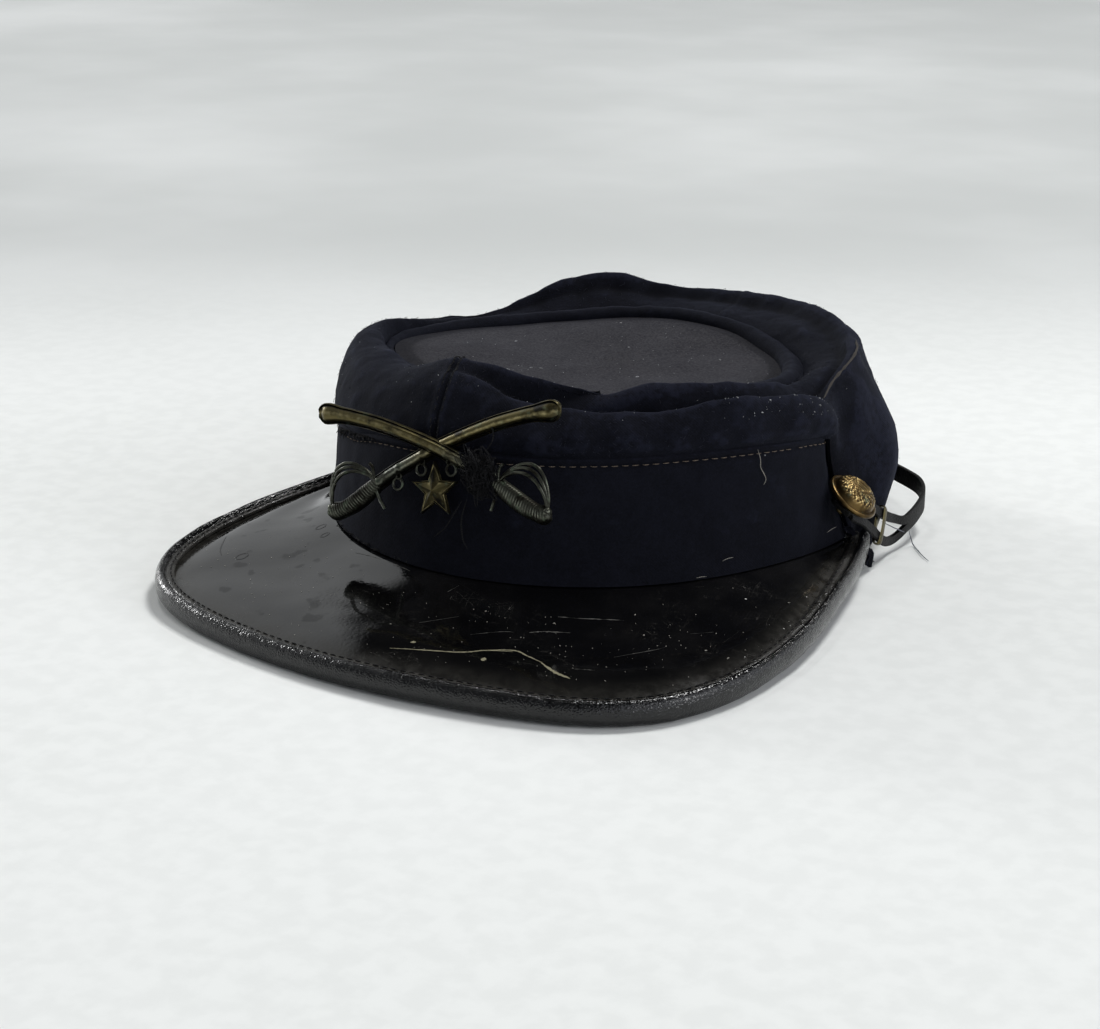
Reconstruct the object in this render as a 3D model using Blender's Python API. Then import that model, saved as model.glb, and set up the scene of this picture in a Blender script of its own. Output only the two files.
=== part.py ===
"""A kepi: a dark blue wool forage cap with a patent-leather peak, lying crushed on a table.

The cap is built as its maker builds it. A wool band goes round the head, the side of the crown is
sewn to the band's top edge and falls in folds, a corded welt joins the crown to a round flat top, and
a leather peak with a rolled binding is sewn under the front of the band. A brass badge of crossed
sabers, two domed side buttons and a narrow chin strap finish it.

Sizes are in millimetres and are turned into metres where a mesh is made. +Z is up, the front of the
cap is -Y and the wearer's left is +X. The origin lies on the table, in the middle of the cap's box.
An azimuth is measured in degrees round the cap, from the front towards the wearer's left.
"""

from collections import namedtuple
from math import cos, pi, radians, sin

import bmesh
import bpy
import numpy as np
from mathutils import Vector

# ------------------------------------------------------------------ driving sizes
MM = 0.001
GAP = 0.3  # clearance between neighbouring pieces

CLOTH = 1.8  # wool with its backing
BAND_CLOTH = 2.0
PEAK_LEATHER = 2.4
BINDING_LEATHER = 1.0
WELT_RADIUS = 3.0  # cord covered with wool, round the top
TOP_CLOTH = 1.8

HEAD_CENTRE = (-4.0, 25.9)  # middle of the head opening
PEAK_CENTRE = (HEAD_CENTRE[0] + 4.0, HEAD_CENTRE[1] - 8.0)  # middle of the peak's outline

BUTTON_RADIUS = 7.95  # a five-eighths inch cuff button
BADGE_METAL = 1.2  # half the depth of the stamped brass
STRAP_WIDTH = 5.6
STRAP_LEATHER = 1.2

STEP_ROUND = 7.2  # degrees between the sections of the cloth pieces
CORNER = (80.0, 105.0)  # where the crown falls over the band, on the wearer's left
CORNER_STEP = 2.5
ROUND_PEAK = 38

# ------------------------------------------------------------------ section tables
# The band's outer face, at its foot and at its top edge. Where foot_z is below zero the table
# flattens it.
BandSection = namedtuple("BandSection", "azimuth foot_r foot_z top_r top_z")
BAND = [
    BandSection(-165, 84.0, -0.5, 80.0, 32.0),
    BandSection(-145, 77.0, -0.4, 73.0, 33.0),
    BandSection(-120, 70.0, 4.0, 68.0, 34.0),
    BandSection(-100, 69.0, 9.0, 68.0, 34.5),
    BandSection(-80, 72.5, 11.2, 72.5, 35.5),
    BandSection(-60, 81.5, 12.7, 80.5, 37.0),
    BandSection(-50, 85.3, 13.7, 84.0, 38.0),
    BandSection(-35, 90.0, 15.0, 86.5, 41.5),
    BandSection(-15, 95.0, 15.8, 88.5, 46.0),
    BandSection(0, 97.2, 16.0, 88.5, 47.5),
    BandSection(20, 95.1, 15.7, 84.5, 47.4),
    BandSection(40, 88.0, 14.6, 79.0, 47.2),
    BandSection(60, 79.6, 13.0, 76.3, 46.6),
    BandSection(75, 75.3, 11.5, 73.6, 44.5),
    BandSection(82, 74.1, 10.8, 71.8, 42.9),
    BandSection(86, 73.6, 10.4, 70.3, 41.9),
    BandSection(89, 73.3, 10.1, 67.6, 41.3),
    BandSection(92, 73.1, 9.8, 65.2, 40.8),
    BandSection(95, 72.5, 9.3, 63.3, 40.4),
    BandSection(99, 70.8, 8.4, 61.5, 39.8),
    BandSection(104, 68.4, 7.2, 60.4, 39.0),
    BandSection(110, 66.2, 6.0, 59.4, 38.0),
    BandSection(120, 64.8, 4.0, 59.2, 36.0),
    BandSection(132, 67.5, 1.8, 62.0, 34.5),
    BandSection(145, 74.0, -0.4, 68.0, 33.0),
    BandSection(165, 84.0, -0.5, 79.5, 32.0),
    BandSection(180, 87.0, -0.5, 83.0, 32.0),
]

# The crown's side: its widest place, the outer fold, the hollow behind it, the inner roll, and the rim
# of the round top that it closes on.
CrownSection = namedtuple(
    "CrownSection",
    "azimuth belly_r belly_z crest_r crest_z hollow_r hollow_z roll_r roll_z rim_r rim_z",
)
CROWN = [
    CrownSection(-167, 89.0, 27.0, 74.0, 57.0, 67.0, 55.5, 60.0, 54.5, 47.5, 53.0),
    CrownSection(-155, 88.5, 28.0, 74.0, 58.5, 67.5, 56.0, 61.0, 54.5, 49.0, 52.5),
    CrownSection(-142, 87.5, 30.0, 74.5, 60.5, 68.5, 57.0, 62.5, 54.0, 51.5, 51.5),
    CrownSection(-131, 86.5, 31.0, 74.5, 58.0, 69.5, 55.0, 64.5, 52.5, 54.0, 50.5),
    CrownSection(-122, 85.5, 32.0, 75.0, 54.0, 70.8, 52.6, 66.8, 51.3, 57.5, 49.8),
    CrownSection(-113, 84.5, 34.0, 75.5, 50.4, 72.0, 50.8, 69.0, 50.6, 60.2, 49.4),
    CrownSection(-100, 83.5, 37.0, 75.8, 51.2, 73.4, 52.2, 71.2, 51.8, 63.0, 50.2),
    CrownSection(-86, 82.5, 41.0, 76.8, 53.2, 74.4, 54.6, 72.6, 54.2, 64.8, 51.4),
    CrownSection(-70, 82.8, 45.0, 78.6, 55.8, 75.4, 57.8, 73.2, 57.0, 65.0, 53.4),
    CrownSection(-52, 84.4, 46.0, 80.3, 57.0, 75.4, 59.2, 71.0, 57.4, 62.4, 54.4),
    CrownSection(-36, 86.3, 48.5, 82.0, 57.8, 76.0, 60.3, 70.2, 59.6, 61.0, 54.6),
    CrownSection(-22, 88.0, 50.5, 82.5, 59.0, 76.5, 61.5, 70.5, 60.8, 61.0, 55.0),
    CrownSection(-10, 88.8, 52.0, 83.0, 61.8, 77.5, 65.4, 71.5, 66.3, 61.0, 55.0),
    CrownSection(2, 88.6, 52.5, 80.0, 64.8, 76.0, 64.4, 71.5, 67.4, 61.0, 55.0),
    CrownSection(12, 87.4, 52.8, 80.5, 61.0, 76.0, 58.8, 71.5, 66.0, 60.5, 55.0),
    CrownSection(20, 86.0, 53.0, 79.7, 60.2, 75.0, 56.6, 70.6, 64.5, 59.5, 55.0),
    CrownSection(28, 84.0, 53.2, 79.0, 59.7, 74.0, 55.2, 69.3, 62.4, 58.5, 55.0),
    CrownSection(36, 82.0, 53.4, 78.0, 59.0, 72.8, 54.4, 67.8, 62.3, 57.3, 55.3),
    CrownSection(44, 80.2, 53.6, 77.4, 59.8, 71.8, 54.0, 67.0, 63.0, 56.2, 55.6),
    CrownSection(52, 79.0, 53.8, 76.8, 61.9, 71.0, 54.0, 66.0, 63.2, 55.3, 55.8),
    CrownSection(60, 78.0, 53.5, 76.0, 60.5, 70.2, 54.0, 65.0, 61.8, 54.5, 55.5),
    CrownSection(68, 77.3, 52.5, 75.3, 59.6, 69.0, 54.0, 64.0, 60.2, 53.7, 55.0),
    CrownSection(74, 76.9, 51.2, 74.5, 58.3, 68.0, 53.6, 62.6, 58.6, 52.8, 54.3),
    CrownSection(80, 76.2, 49.5, 72.8, 55.6, 67.0, 53.0, 61.0, 56.6, 51.8, 53.6),
    CrownSection(85, 74.6, 47.6, 70.4, 52.8, 65.5, 52.6, 59.8, 55.3, 51.0, 53.0),
    CrownSection(91, 70.4, 46.0, 67.8, 54.3, 64.5, 54.4, 58.6, 54.6, 50.2, 52.3),
    CrownSection(96, 72.6, 42.0, 68.0, 56.3, 64.2, 55.8, 58.2, 54.8, 49.3, 51.8),
    CrownSection(105, 79.2, 33.0, 69.0, 58.2, 63.8, 56.8, 58.0, 55.0, 47.7, 51.0),
    CrownSection(118, 80.3, 28.0, 68.5, 58.5, 63.0, 57.0, 57.0, 54.0, 46.5, 50.5),
    CrownSection(132, 82.0, 27.0, 70.0, 57.5, 63.0, 56.5, 56.0, 54.0, 45.5, 50.5),
    CrownSection(148, 85.0, 26.0, 72.0, 58.0, 63.5, 57.0, 56.5, 55.0, 45.0, 51.0),
    CrownSection(165, 88.0, 26.0, 73.5, 57.6, 64.5, 56.5, 57.0, 55.5, 45.5, 52.5),
    CrownSection(180, 89.0, 26.0, 74.0, 56.9, 65.5, 56.0, 58.0, 55.3, 46.0, 53.0),
]

# The groove on top of the peak where its rolled edge begins. The plan is the same on both sides, and
# the wearer's right side has warped up.
PeakPlan = namedtuple("PeakPlan", "azimuth groove_r")
PEAK_PLAN = [
    PeakPlan(-102, 78.0),
    PeakPlan(-80, 83.5),
    PeakPlan(-65, 97.3),
    PeakPlan(-50, 118.9),
    PeakPlan(-35, 137.3),
    PeakPlan(-20, 136.9),
    PeakPlan(0, 134.3),
    PeakPlan(20, 136.9),
    PeakPlan(35, 137.3),
    PeakPlan(50, 118.9),
    PeakPlan(65, 97.3),
    PeakPlan(80, 83.5),
    PeakPlan(102, 74.0),
]
PeakRise = namedtuple("PeakRise", "azimuth groove_z")
PEAK_RISE = [
    PeakRise(-102, 11.4),
    PeakRise(-80, 12.8),
    PeakRise(-60, 10.8),
    PeakRise(-40, 8.8),
    PeakRise(-20, 7.2),
    PeakRise(0, 7.35),
    PeakRise(20, 7.7),
    PeakRise(38, 7.3),
    PeakRise(60, 9.2),
    PeakRise(80, 11.0),
    PeakRise(102, 12.2),
]


# One of the two sabers of the badge, from the tip of its scabbard to its guard, and then its grip.
# `across` runs to the side the tip points to, `up` is up on the badge.
SaberStation = namedtuple("SaberStation", "across up half_width")
SCABBARD = [
    SaberStation(38.2, 9.4, 1.2),
    SaberStation(37.2, 9.4, 2.5),
    SaberStation(33.5, 9.1, 2.6),
    SaberStation(27.0, 8.1, 2.2),
    SaberStation(18.5, 6.2, 2.1),
    SaberStation(9.0, 3.3, 2.0),
    SaberStation(0.0, 0.0, 2.0),
    SaberStation(-8.0, -3.6, 2.0),
    SaberStation(-14.5, -6.6, 2.0),
    SaberStation(-20.5, -10.0, 2.2),
]
GRIP = [
    SaberStation(-19.5, -9.4, 2.2),
    SaberStation(-24.0, -12.6, 2.6),
    SaberStation(-28.5, -15.4, 2.5),
    SaberStation(-32.0, -17.0, 2.3),
    SaberStation(-34.6, -17.6, 2.8),
    SaberStation(-36.2, -17.8, 1.6),
]
# The branches of the guard bow out from the cross-piece and come back to the pommel.
GuardBow = namedtuple("GuardBow", "out depth")
GUARD = [GuardBow(9.4, 0.2), GuardBow(6.6, 1.0), GuardBow(4.0, 1.6)]

# The chin strap's middle line about the head opening. `lean` tips its upper edge outwards from
# upright, and `opening` is half the gap of the slit that the button goes through.
StrapStation = namedtuple("StrapStation", "azimuth r z lean opening")
STRAP = [
    StrapStation(86.4, 76.1, 21.6, -50, 0.3),
    StrapStation(88.7, 75.4, 21.2, -50, 1.7),
    StrapStation(93.5, 77.4, 18.4, -32, 1.7),
    StrapStation(98.5, 79.2, 14.0, -14, 1.9),
    StrapStation(103.5, 80.6, 9.4, -4, 2.3),
    StrapStation(108.3, 82.2, 7.0, 0, 1.8),
    StrapStation(112.5, 85.2, 7.0, 0, 0.3),
    StrapStation(117.8, 88.5, 8.2, 0, 0.0),
    StrapStation(122.7, 90.8, 9.6, 0, 0.0),
    StrapStation(127.5, 90.9, 11.0, 0, 0.0),
    StrapStation(131.6, 88.3, 12.0, 0, 0.0),
    StrapStation(136.0, 86.2, 12.3, 0, 0.0),
    StrapStation(145.0, 87.4, 12.0, 0, 0.0),
    StrapStation(155.0, 89.6, 11.0, 0, 0.0),
    StrapStation(165.0, 91.4, 9.0, 0, 0.0),
    StrapStation(178.0, 92.6, 6.2, 0, 0.0),
    StrapStation(192.0, 92.8, 4.4, 0, 0.0),
    StrapStation(206.0, 92.0, 3.6, 0, 0.0),
    StrapStation(220.0, 90.6, 3.4, 0, 0.0),
    StrapStation(232.0, 89.6, 3.4, 0, 0.0),
    StrapStation(242.0, 88.8, 3.6, 0, 0.3),
    StrapStation(250.0, 86.8, 5.6, -3, 1.4),
    StrapStation(256.0, 83.4, 9.4, -8, 1.7),
    StrapStation(261.3, 80.2, 14.0, -16, 1.7),
    StrapStation(266.5, 77.3, 18.4, -34, 1.7),
    StrapStation(271.3, 74.8, 21.2, -50, 1.7),
    StrapStation(273.6, 75.5, 21.6, -50, 0.3),
]


# ------------------------------------------------------------------ curves and surfaces
def cyclic(table, column, at):
    """A smooth closed curve through a table's column, read at the azimuths in `at`."""
    knots = np.array([row.azimuth for row in table], float)
    values = np.array([getattr(row, column) for row in table], float)
    n = len(knots)
    step = np.diff(np.append(knots, knots[0] + 360.0))
    rise = np.diff(np.append(values, values[0])) / step
    system = np.zeros((n, n))
    row = np.arange(n)
    system[row, row - 1] = step[row - 1]
    system[row, row] = 2.0 * (step[row - 1] + step)
    system[row, (row + 1) % n] = step
    bend = np.linalg.solve(system, 6.0 * (rise - rise[row - 1]))
    turned = (np.asarray(at, float) - knots[0]) % 360.0
    i = np.searchsorted(knots - knots[0], turned, side="right") - 1
    t = turned - (knots[i] - knots[0])
    h = step[i]
    here, there = bend[i], bend[(i + 1) % n]
    slope = rise[i] - h * (2.0 * here + there) / 6.0
    return values[i] + t * slope + t * t * here / 2.0 + t**3 * (there - here) / (6.0 * h)


def natural(table, column, at):
    """A smooth open curve through a table's column, straight at its ends."""
    knots = np.array([row.azimuth for row in table], float)
    values = np.array([getattr(row, column) for row in table], float)
    n = len(knots)
    step = np.diff(knots)
    rise = np.diff(values) / step
    system = np.eye(n)
    side = np.zeros(n)
    for k in range(1, n - 1):
        system[k, k - 1 : k + 2] = step[k - 1], 2.0 * (step[k - 1] + step[k]), step[k]
        side[k] = 6.0 * (rise[k] - rise[k - 1])
    bend = np.linalg.solve(system, side)
    at = np.asarray(at, float)
    i = np.clip(np.searchsorted(knots, at, side="right") - 1, 0, n - 2)
    t, h = at - knots[i], step[i]
    slope = rise[i] - h * (2.0 * bend[i] + bend[i + 1]) / 6.0
    return values[i] + t * slope + t * t * bend[i] / 2.0 + t**3 * (bend[i + 1] - bend[i]) / (6.0 * h)


def smoothstep(low, high, x):
    t = np.clip((np.asarray(x, float) - low) / (high - low), 0.0, 1.0)
    return t * t * (3.0 - 2.0 * t)


def round_the_cap():
    """Azimuths of the sections of the cloth pieces, closer together at the corner."""
    coarse = np.arange(-180.0, 180.0, STEP_ROUND)
    away = (coarse < CORNER[0]) | (coarse > CORNER[1])
    return np.sort(np.append(coarse[away], np.arange(CORNER[0], CORNER[1] + 0.1, CORNER_STEP)))


def polar(r, z, azimuth, centre=HEAD_CENTRE):
    """Points at a radius and a height round a centre, for arrays of any one shape."""
    a = np.radians(azimuth)
    r, z, a = np.broadcast_arrays(np.asarray(r, float), np.asarray(z, float), a)
    return np.stack([centre[0] + r * np.sin(a), centre[1] - r * np.cos(a), z], axis=-1)


def through(stations, per_span):
    """Smooth lines through stations of shape (lines, stations, values), with their ends kept."""
    first = 2 * stations[:, :1] - stations[:, 1:2]
    last = 2 * stations[:, -1:] - stations[:, -2:-1]
    p = np.concatenate([first, stations, last], axis=1)
    line = []
    for span, count in enumerate(per_span):
        a, b, c, d = (p[:, span + k][:, None] for k in range(4))
        t = (np.arange(count) / count)[None, :, None]
        line.append(
            0.5
            * (2 * b + (c - a) * t + (2 * a - 5 * b + 4 * c - d) * t**2 + (3 * b - a - 3 * c + d) * t**3)
        )
    line.append(stations[:, -1:])
    return np.concatenate(line, axis=1)


# ------------------------------------------------------------------ mesh builders
def material(name, colour, roughness, metallic=0.0):
    """A Principled material with the piece's colour, roughness and metallic value."""
    made = bpy.data.materials.new(name)
    made.use_nodes = True
    shader = made.node_tree.nodes["Principled BSDF"]
    shader.inputs["Base Color"].default_value = (*colour, 1.0)
    shader.inputs["Roughness"].default_value = roughness
    shader.inputs["Metallic"].default_value = metallic
    made.diffuse_color = (*colour, 1.0)
    return made


def add(name, points, faces, finish, smooth_angle=40.0):
    """One named object from points in millimetres and their faces, with its normals outwards."""
    mesh = bpy.data.meshes.new(name)
    mesh.from_pydata([tuple(p * MM) for p in np.asarray(points, float)], [], faces)
    made = bmesh.new()
    made.from_mesh(mesh)
    bmesh.ops.recalc_face_normals(made, faces=made.faces)
    made.to_mesh(mesh)
    made.free()
    mesh.shade_smooth()
    mesh.set_sharp_from_angle(angle=radians(smooth_angle))
    piece = bpy.data.objects.new(name, mesh)
    mesh.materials.append(finish)
    bpy.context.scene.collection.objects.link(piece)
    return piece


def tube_faces(rows, columns, closed):
    """Quads of a grid whose columns go round, and whose rows go round too where closed is set."""
    faces = []
    for i in range(rows if closed else rows - 1):
        for j in range(columns):
            a, b = i * columns + j, i * columns + (j + 1) % columns
            c, d = ((i + 1) % rows) * columns + (j + 1) % columns, ((i + 1) % rows) * columns + j
            faces.append((a, b, c, d))
    if not closed:
        faces.append(tuple(reversed(range(columns))))
        faces.append(tuple((rows - 1) * columns + j for j in range(columns)))
    return faces


def sweep(name, sections, finish, closed=False, smooth_angle=40.0):
    """One closed body from cross-sections of shape (rows, columns, 3)."""
    rows, columns = sections.shape[:2]
    return add(name, sections.reshape(-1, 3), tube_faces(rows, columns, closed), finish, smooth_angle)


def sheet(name, points, faces, thickness, offset, finish):
    """A sheet of cloth or leather: a surface that Solidify gives its thickness."""
    mesh = bpy.data.meshes.new(name)
    mesh.from_pydata([tuple(p * MM) for p in points], [], faces)
    mesh.shade_smooth()
    mesh.materials.append(finish)
    piece = bpy.data.objects.new(name, mesh)
    bpy.context.scene.collection.objects.link(piece)
    wall = piece.modifiers.new("thickness", "SOLIDIFY")
    wall.thickness = thickness * MM
    wall.offset = offset
    wall.use_even_offset = False
    return piece


# ------------------------------------------------------------------ the cloth
def band_edges(azimuth):
    """Foot and top radii and heights of the band's outer face."""
    foot_r = cyclic(BAND, "foot_r", azimuth)
    foot_z = np.maximum(cyclic(BAND, "foot_z", azimuth), 0.0)
    return foot_r, foot_z, cyclic(BAND, "top_r", azimuth), cyclic(BAND, "top_z", azimuth)


def make_band(finish):
    """The band, whose foot is flattened on the table at the rear."""
    azimuth = round_the_cap()
    foot_r, foot_z, top_r, top_z = band_edges(azimuth)
    up = np.array([0.0, 0.5, 1.0, 1.0, 0.5, 0.0])
    inward = np.array([0.0, 0.0, 0.0, 1.0, 1.0, 1.0]) * BAND_CLOTH
    r = foot_r[:, None] + (top_r - foot_r)[:, None] * up - inward
    z = foot_z[:, None] + (top_z - foot_z)[:, None] * up
    return sweep("band", polar(r, z, azimuth[:, None]), finish, closed=True)


HEM_FRONT_LIFT = GAP + 0.1  # over the band's top edge
HEM_REAR_Z = 1.6  # the rear of the crown hangs down over the band
HEM_REAR_CLEAR = CLOTH + 0.7
HEM_TUCK = 5.0  # how much farther in the hanging hem is than the widest place above it
DROP_LEFT = (85.5, 100.0)  # azimuths between which the hem leaves the band's top edge and comes down
DROP_RIGHT = (-114.0, -98.0)
STEP_OUT = 4.0  # degrees before the drop in which the hem moves out of the band's way
WELT_REACH = 2 * WELT_RADIUS + 2 * GAP
INNER_EDGE_LIFT = 0.5


def crown_stations(azimuth):
    """The crown's outer face from its hem to its inner edge, as radii and heights."""
    foot_r, foot_z, top_r, top_z = band_edges(azimuth)
    turned = (azimuth + 180.0) % 360.0 - 180.0
    left, right = DROP_LEFT[0], DROP_RIGHT[1]
    fallen = np.where(turned > 0, smoothstep(*DROP_LEFT, turned), 1.0 - smoothstep(*DROP_RIGHT, turned))
    outside = np.where(
        turned > 0,
        smoothstep(left - STEP_OUT, left + 1.0, turned),
        1.0 - smoothstep(right - 1.0, right + STEP_OUT, turned),
    )
    hem_z = (top_z + HEM_FRONT_LIFT) * (1.0 - fallen) + HEM_REAR_Z * fallen
    up_the_band = np.clip((hem_z - foot_z) / (top_z - foot_z), 0.0, 1.0)
    band_r = foot_r + (top_r - foot_r) * up_the_band
    belly_r = cyclic(CROWN, "belly_r", azimuth)
    hem_r = band_r + HEM_REAR_CLEAR * outside
    hem_r = np.maximum(hem_r, (belly_r - HEM_TUCK) * fallen**2 + hem_r * (1.0 - fallen**2))
    rim_r = cyclic(CROWN, "rim_r", azimuth)
    rim_z = cyclic(CROWN, "rim_z", azimuth)
    pairs = [
        (hem_r, hem_z),
        (belly_r, cyclic(CROWN, "belly_z", azimuth)),
        (cyclic(CROWN, "crest_r", azimuth), cyclic(CROWN, "crest_z", azimuth)),
        (cyclic(CROWN, "hollow_r", azimuth), cyclic(CROWN, "hollow_z", azimuth)),
        (cyclic(CROWN, "roll_r", azimuth), cyclic(CROWN, "roll_z", azimuth)),
        (rim_r + WELT_REACH, rim_z + INNER_EDGE_LIFT),
    ]
    return np.stack([np.stack(pair, axis=-1) for pair in pairs], axis=1)


CROWN_SPANS = (3, 3, 3, 3, 3)  # faces between the stations, from the hem in


def make_crown(finish):
    """The side of the crown, hollow, with its outer fold, its hollow and its inner roll."""
    azimuth = round_the_cap()
    line = through(crown_stations(azimuth), CROWN_SPANS)
    outer = polar(line[..., 0], line[..., 1], azimuth[:, None])
    rows, columns = outer.shape[:2]
    faces = []
    for i in range(rows):
        for j in range(columns - 1):
            a, b = i * columns + j, i * columns + j + 1
            after = (i + 1) % rows * columns + j
            faces.append((a, after, after + 1, b))
    return sheet("crown", outer.reshape(-1, 3), faces, CLOTH, -1.0, finish)


WELT_SIDES = 7
WELT_LIFT = 0.3


def make_welt(finish):
    """The corded welt between the crown and the top."""
    azimuth = round_the_cap()
    turn = np.arange(WELT_SIDES) * 2.0 * pi / WELT_SIDES
    centre_r = cyclic(CROWN, "rim_r", azimuth) + GAP + WELT_RADIUS
    centre_z = cyclic(CROWN, "rim_z", azimuth) + WELT_LIFT
    r = centre_r[:, None] + WELT_RADIUS * np.cos(turn)
    z = centre_z[:, None] + WELT_RADIUS * np.sin(turn)
    return sweep("crown_welt", polar(r, z, azimuth[:, None]), finish, closed=True)


TOP_SAG = 1.5  # how far the middle of the top sinks


def make_top(finish):
    """The round top, a disc of cloth that sags in its middle."""
    azimuth = round_the_cap()
    rim_r = cyclic(CROWN, "rim_r", azimuth)
    rim_z = cyclic(CROWN, "rim_z", azimuth)
    share = np.array([0.4, 0.75, 1.0, 1.0, 0.75, 0.4])
    face = np.array([1.0, 1.0, 1.0, -1.0, -1.0, -1.0]) * TOP_CLOTH / 2
    middle = rim_z.mean() - TOP_SAG
    height = middle + (rim_z[:, None] - middle) * share**2
    points = polar(rim_r[:, None] * share, height + face, azimuth[:, None]).reshape(-1, 3)
    columns = len(share)
    faces = []
    for i in range(len(azimuth)):
        after = (i + 1) % len(azimuth)
        for j in range(columns - 1):
            here, there = i * columns + j, after * columns + j
            faces.append((here, here + 1, there + 1, there))
        faces.append((len(points), i * columns, after * columns))
        faces.append((len(points) + 1, after * columns + columns - 1, i * columns + columns - 1))
    heart = [
        (HEAD_CENTRE[0], HEAD_CENTRE[1], middle + TOP_CLOTH / 2),
        (HEAD_CENTRE[0], HEAD_CENTRE[1], middle - TOP_CLOTH / 2),
    ]
    return add("top_disc", np.vstack([points, heart]), faces, finish)


# ------------------------------------------------------------------ the peak
PEAK_HALF_ANGLE = 102.0
PEAK_TUCK = 4.0  # how far the peak goes in under the band
ROLL_HEIGHT = 7.0  # the rolled edge of the peak
ROLL_REACH = 2.8  # how far it stands out past its groove
LAP = 2.8  # the flat strip inside the groove that the stitches hold
LAP_CLEAR = 0.8  # the peak lies level from this far inside the strip
SLOT_DEPTH = 0.7
BAND_SEAT = GAP + 0.1  # the peak passes this far under the band
FOOT_OUT = 0.6  # the peak leaves the level this far outside the band
FOOT_INSIDE = 0.4  # and no nearer than this to the binding


LAP_END = -0.2  # the strip ends here, measured outwards from the groove
ROLL_START = 0.5
ROLL_FULLNESS = 0.7
ROLL_TURNS = (radians(52.0), radians(20.0))


def peak_frame(azimuth):
    """The groove line as points, with the level direction that points out of the peak."""
    radius = natural(PEAK_PLAN, "groove_r", azimuth)
    groove = polar(radius, natural(PEAK_RISE, "groove_z", azimuth), azimuth, PEAK_CENTRE)
    along = np.gradient(groove, axis=0)
    out = np.stack([along[:, 1], -along[:, 0], 0.0 * along[:, 0]], axis=-1)
    return groove, out / np.linalg.norm(out, axis=1, keepdims=True)


def peak_stations(azimuth):
    """The peak's top face: under the band, at the band's outer face, at the binding and at the rim."""
    groove, out = peak_frame(azimuth)
    drop = np.array([0.0, 0.0, ROLL_HEIGHT / 2 - PEAK_LEATHER / 2])
    rim = groove + out * (SLOT_DEPTH - GAP) - drop
    bound = groove - out * (LAP + LAP_CLEAR) - drop
    way = bound[:, :2] - np.array(HEAD_CENTRE)
    round_head = np.degrees(np.arctan2(way[:, 0], -way[:, 1]))
    foot_r, foot_z, _, _ = band_edges(round_head)
    below = foot_z - BAND_SEAT
    face_r = np.minimum(foot_r + FOOT_OUT, np.linalg.norm(way, axis=1) - FOOT_INSIDE)
    return polar(foot_r - PEAK_TUCK, below, round_head), polar(face_r, below, round_head), bound, rim


def make_peak(finish):
    """The patent-leather peak, from under the band to its bound edge."""
    azimuth = np.linspace(-PEAK_HALF_ANGLE, PEAK_HALF_ANGLE, ROUND_PEAK)
    inner, foot, bound, rim = peak_stations(azimuth)
    share = np.array([0.0, 0.33, 0.67, 1.0])
    outside = foot[:, None] + (bound - foot)[:, None] * share[None, :, None]
    top = np.concatenate([inner[:, None], outside, rim[:, None]], axis=1)
    under = top - np.array([0.0, 0.0, PEAK_LEATHER])
    return sweep("visor", np.concatenate([top, under[:, ::-1]], axis=1), finish)


def make_binding(finish):
    """The rolled leather edge, a channel that holds the rim of the peak."""
    azimuth = np.linspace(-PEAK_HALF_ANGLE, PEAK_HALF_ANGLE, ROUND_PEAK)
    groove, out = peak_frame(azimuth)
    middle = groove - np.array([0.0, 0.0, ROLL_HEIGHT / 2])
    slot = PEAK_LEATHER / 2 + GAP
    lap_top = slot + BINDING_LEATHER
    half = ROLL_HEIGHT / 2
    nose = [(ROLL_REACH * cos(t) ** ROLL_FULLNESS, half * sin(t)) for t in ROLL_TURNS]
    upper = [(-LAP, slot), (-LAP, lap_top), (LAP_END, lap_top), (ROLL_START, half)] + nose
    lower = [(u, -w) for u, w in reversed(upper)]
    profile = np.array(upper + lower + [(SLOT_DEPTH, -slot), (SLOT_DEPTH, slot)])
    up = np.array([0.0, 0.0, 1.0])
    sections = middle[:, None] + profile[None, :, :1] * out[:, None] + profile[None, :, 1:] * up
    return sweep("visor_binding", sections, finish)


# ------------------------------------------------------------------ the badge
BADGE_SIDE = -0.8  # of the crossing from the middle of the head opening
BADGE_FORWARD = 91.3
BADGE_UP = 48.8
BADGE_LEAN = 13.0  # degrees its face is tipped back
BADGE_TURN = 9.7  # degrees its wearer's-left side has swung up
SABER_DEPTH = (1.0, -0.3)  # how far out the middle of the upper and of the lower saber is


def on_badge(across, up, depth):
    """Points from their places on the badge's face: across to the wearer's left, up, and out."""
    across, up, depth = np.broadcast_arrays(*(np.asarray(v, float) for v in (across, up, depth)))
    turn, lean = radians(BADGE_TURN), radians(BADGE_LEAN)
    side = across * cos(turn) - up * sin(turn)
    rise = across * sin(turn) + up * cos(turn)
    back = rise * sin(lean) - depth * cos(lean)
    height = rise * cos(lean) + depth * sin(lean)
    start = (HEAD_CENTRE[0] + BADGE_SIDE, HEAD_CENTRE[1] - BADGE_FORWARD, BADGE_UP)
    return np.stack([start[0] + side, start[1] + back, start[2] + height], axis=-1)


def rod(line, half_width, half_depth, sides):
    """A closed rod on the badge along a line of (across, up, depth), with a flattened section."""
    along = np.gradient(line[:, :2], axis=0)
    along = along / np.linalg.norm(along, axis=1, keepdims=True)
    turn = (np.arange(sides) + 0.5) * 2.0 * pi / sides
    wide = half_width[:, None] * np.cos(turn)
    across = line[:, :1] - along[:, 1:] * wide
    up = line[:, 1:2] + along[:, :1] * wide
    depth = line[:, 2:] + half_depth * np.sin(turn)
    points = on_badge(across, up, depth).reshape(-1, 3)
    return points, tube_faces(len(line), sides, False)


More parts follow.
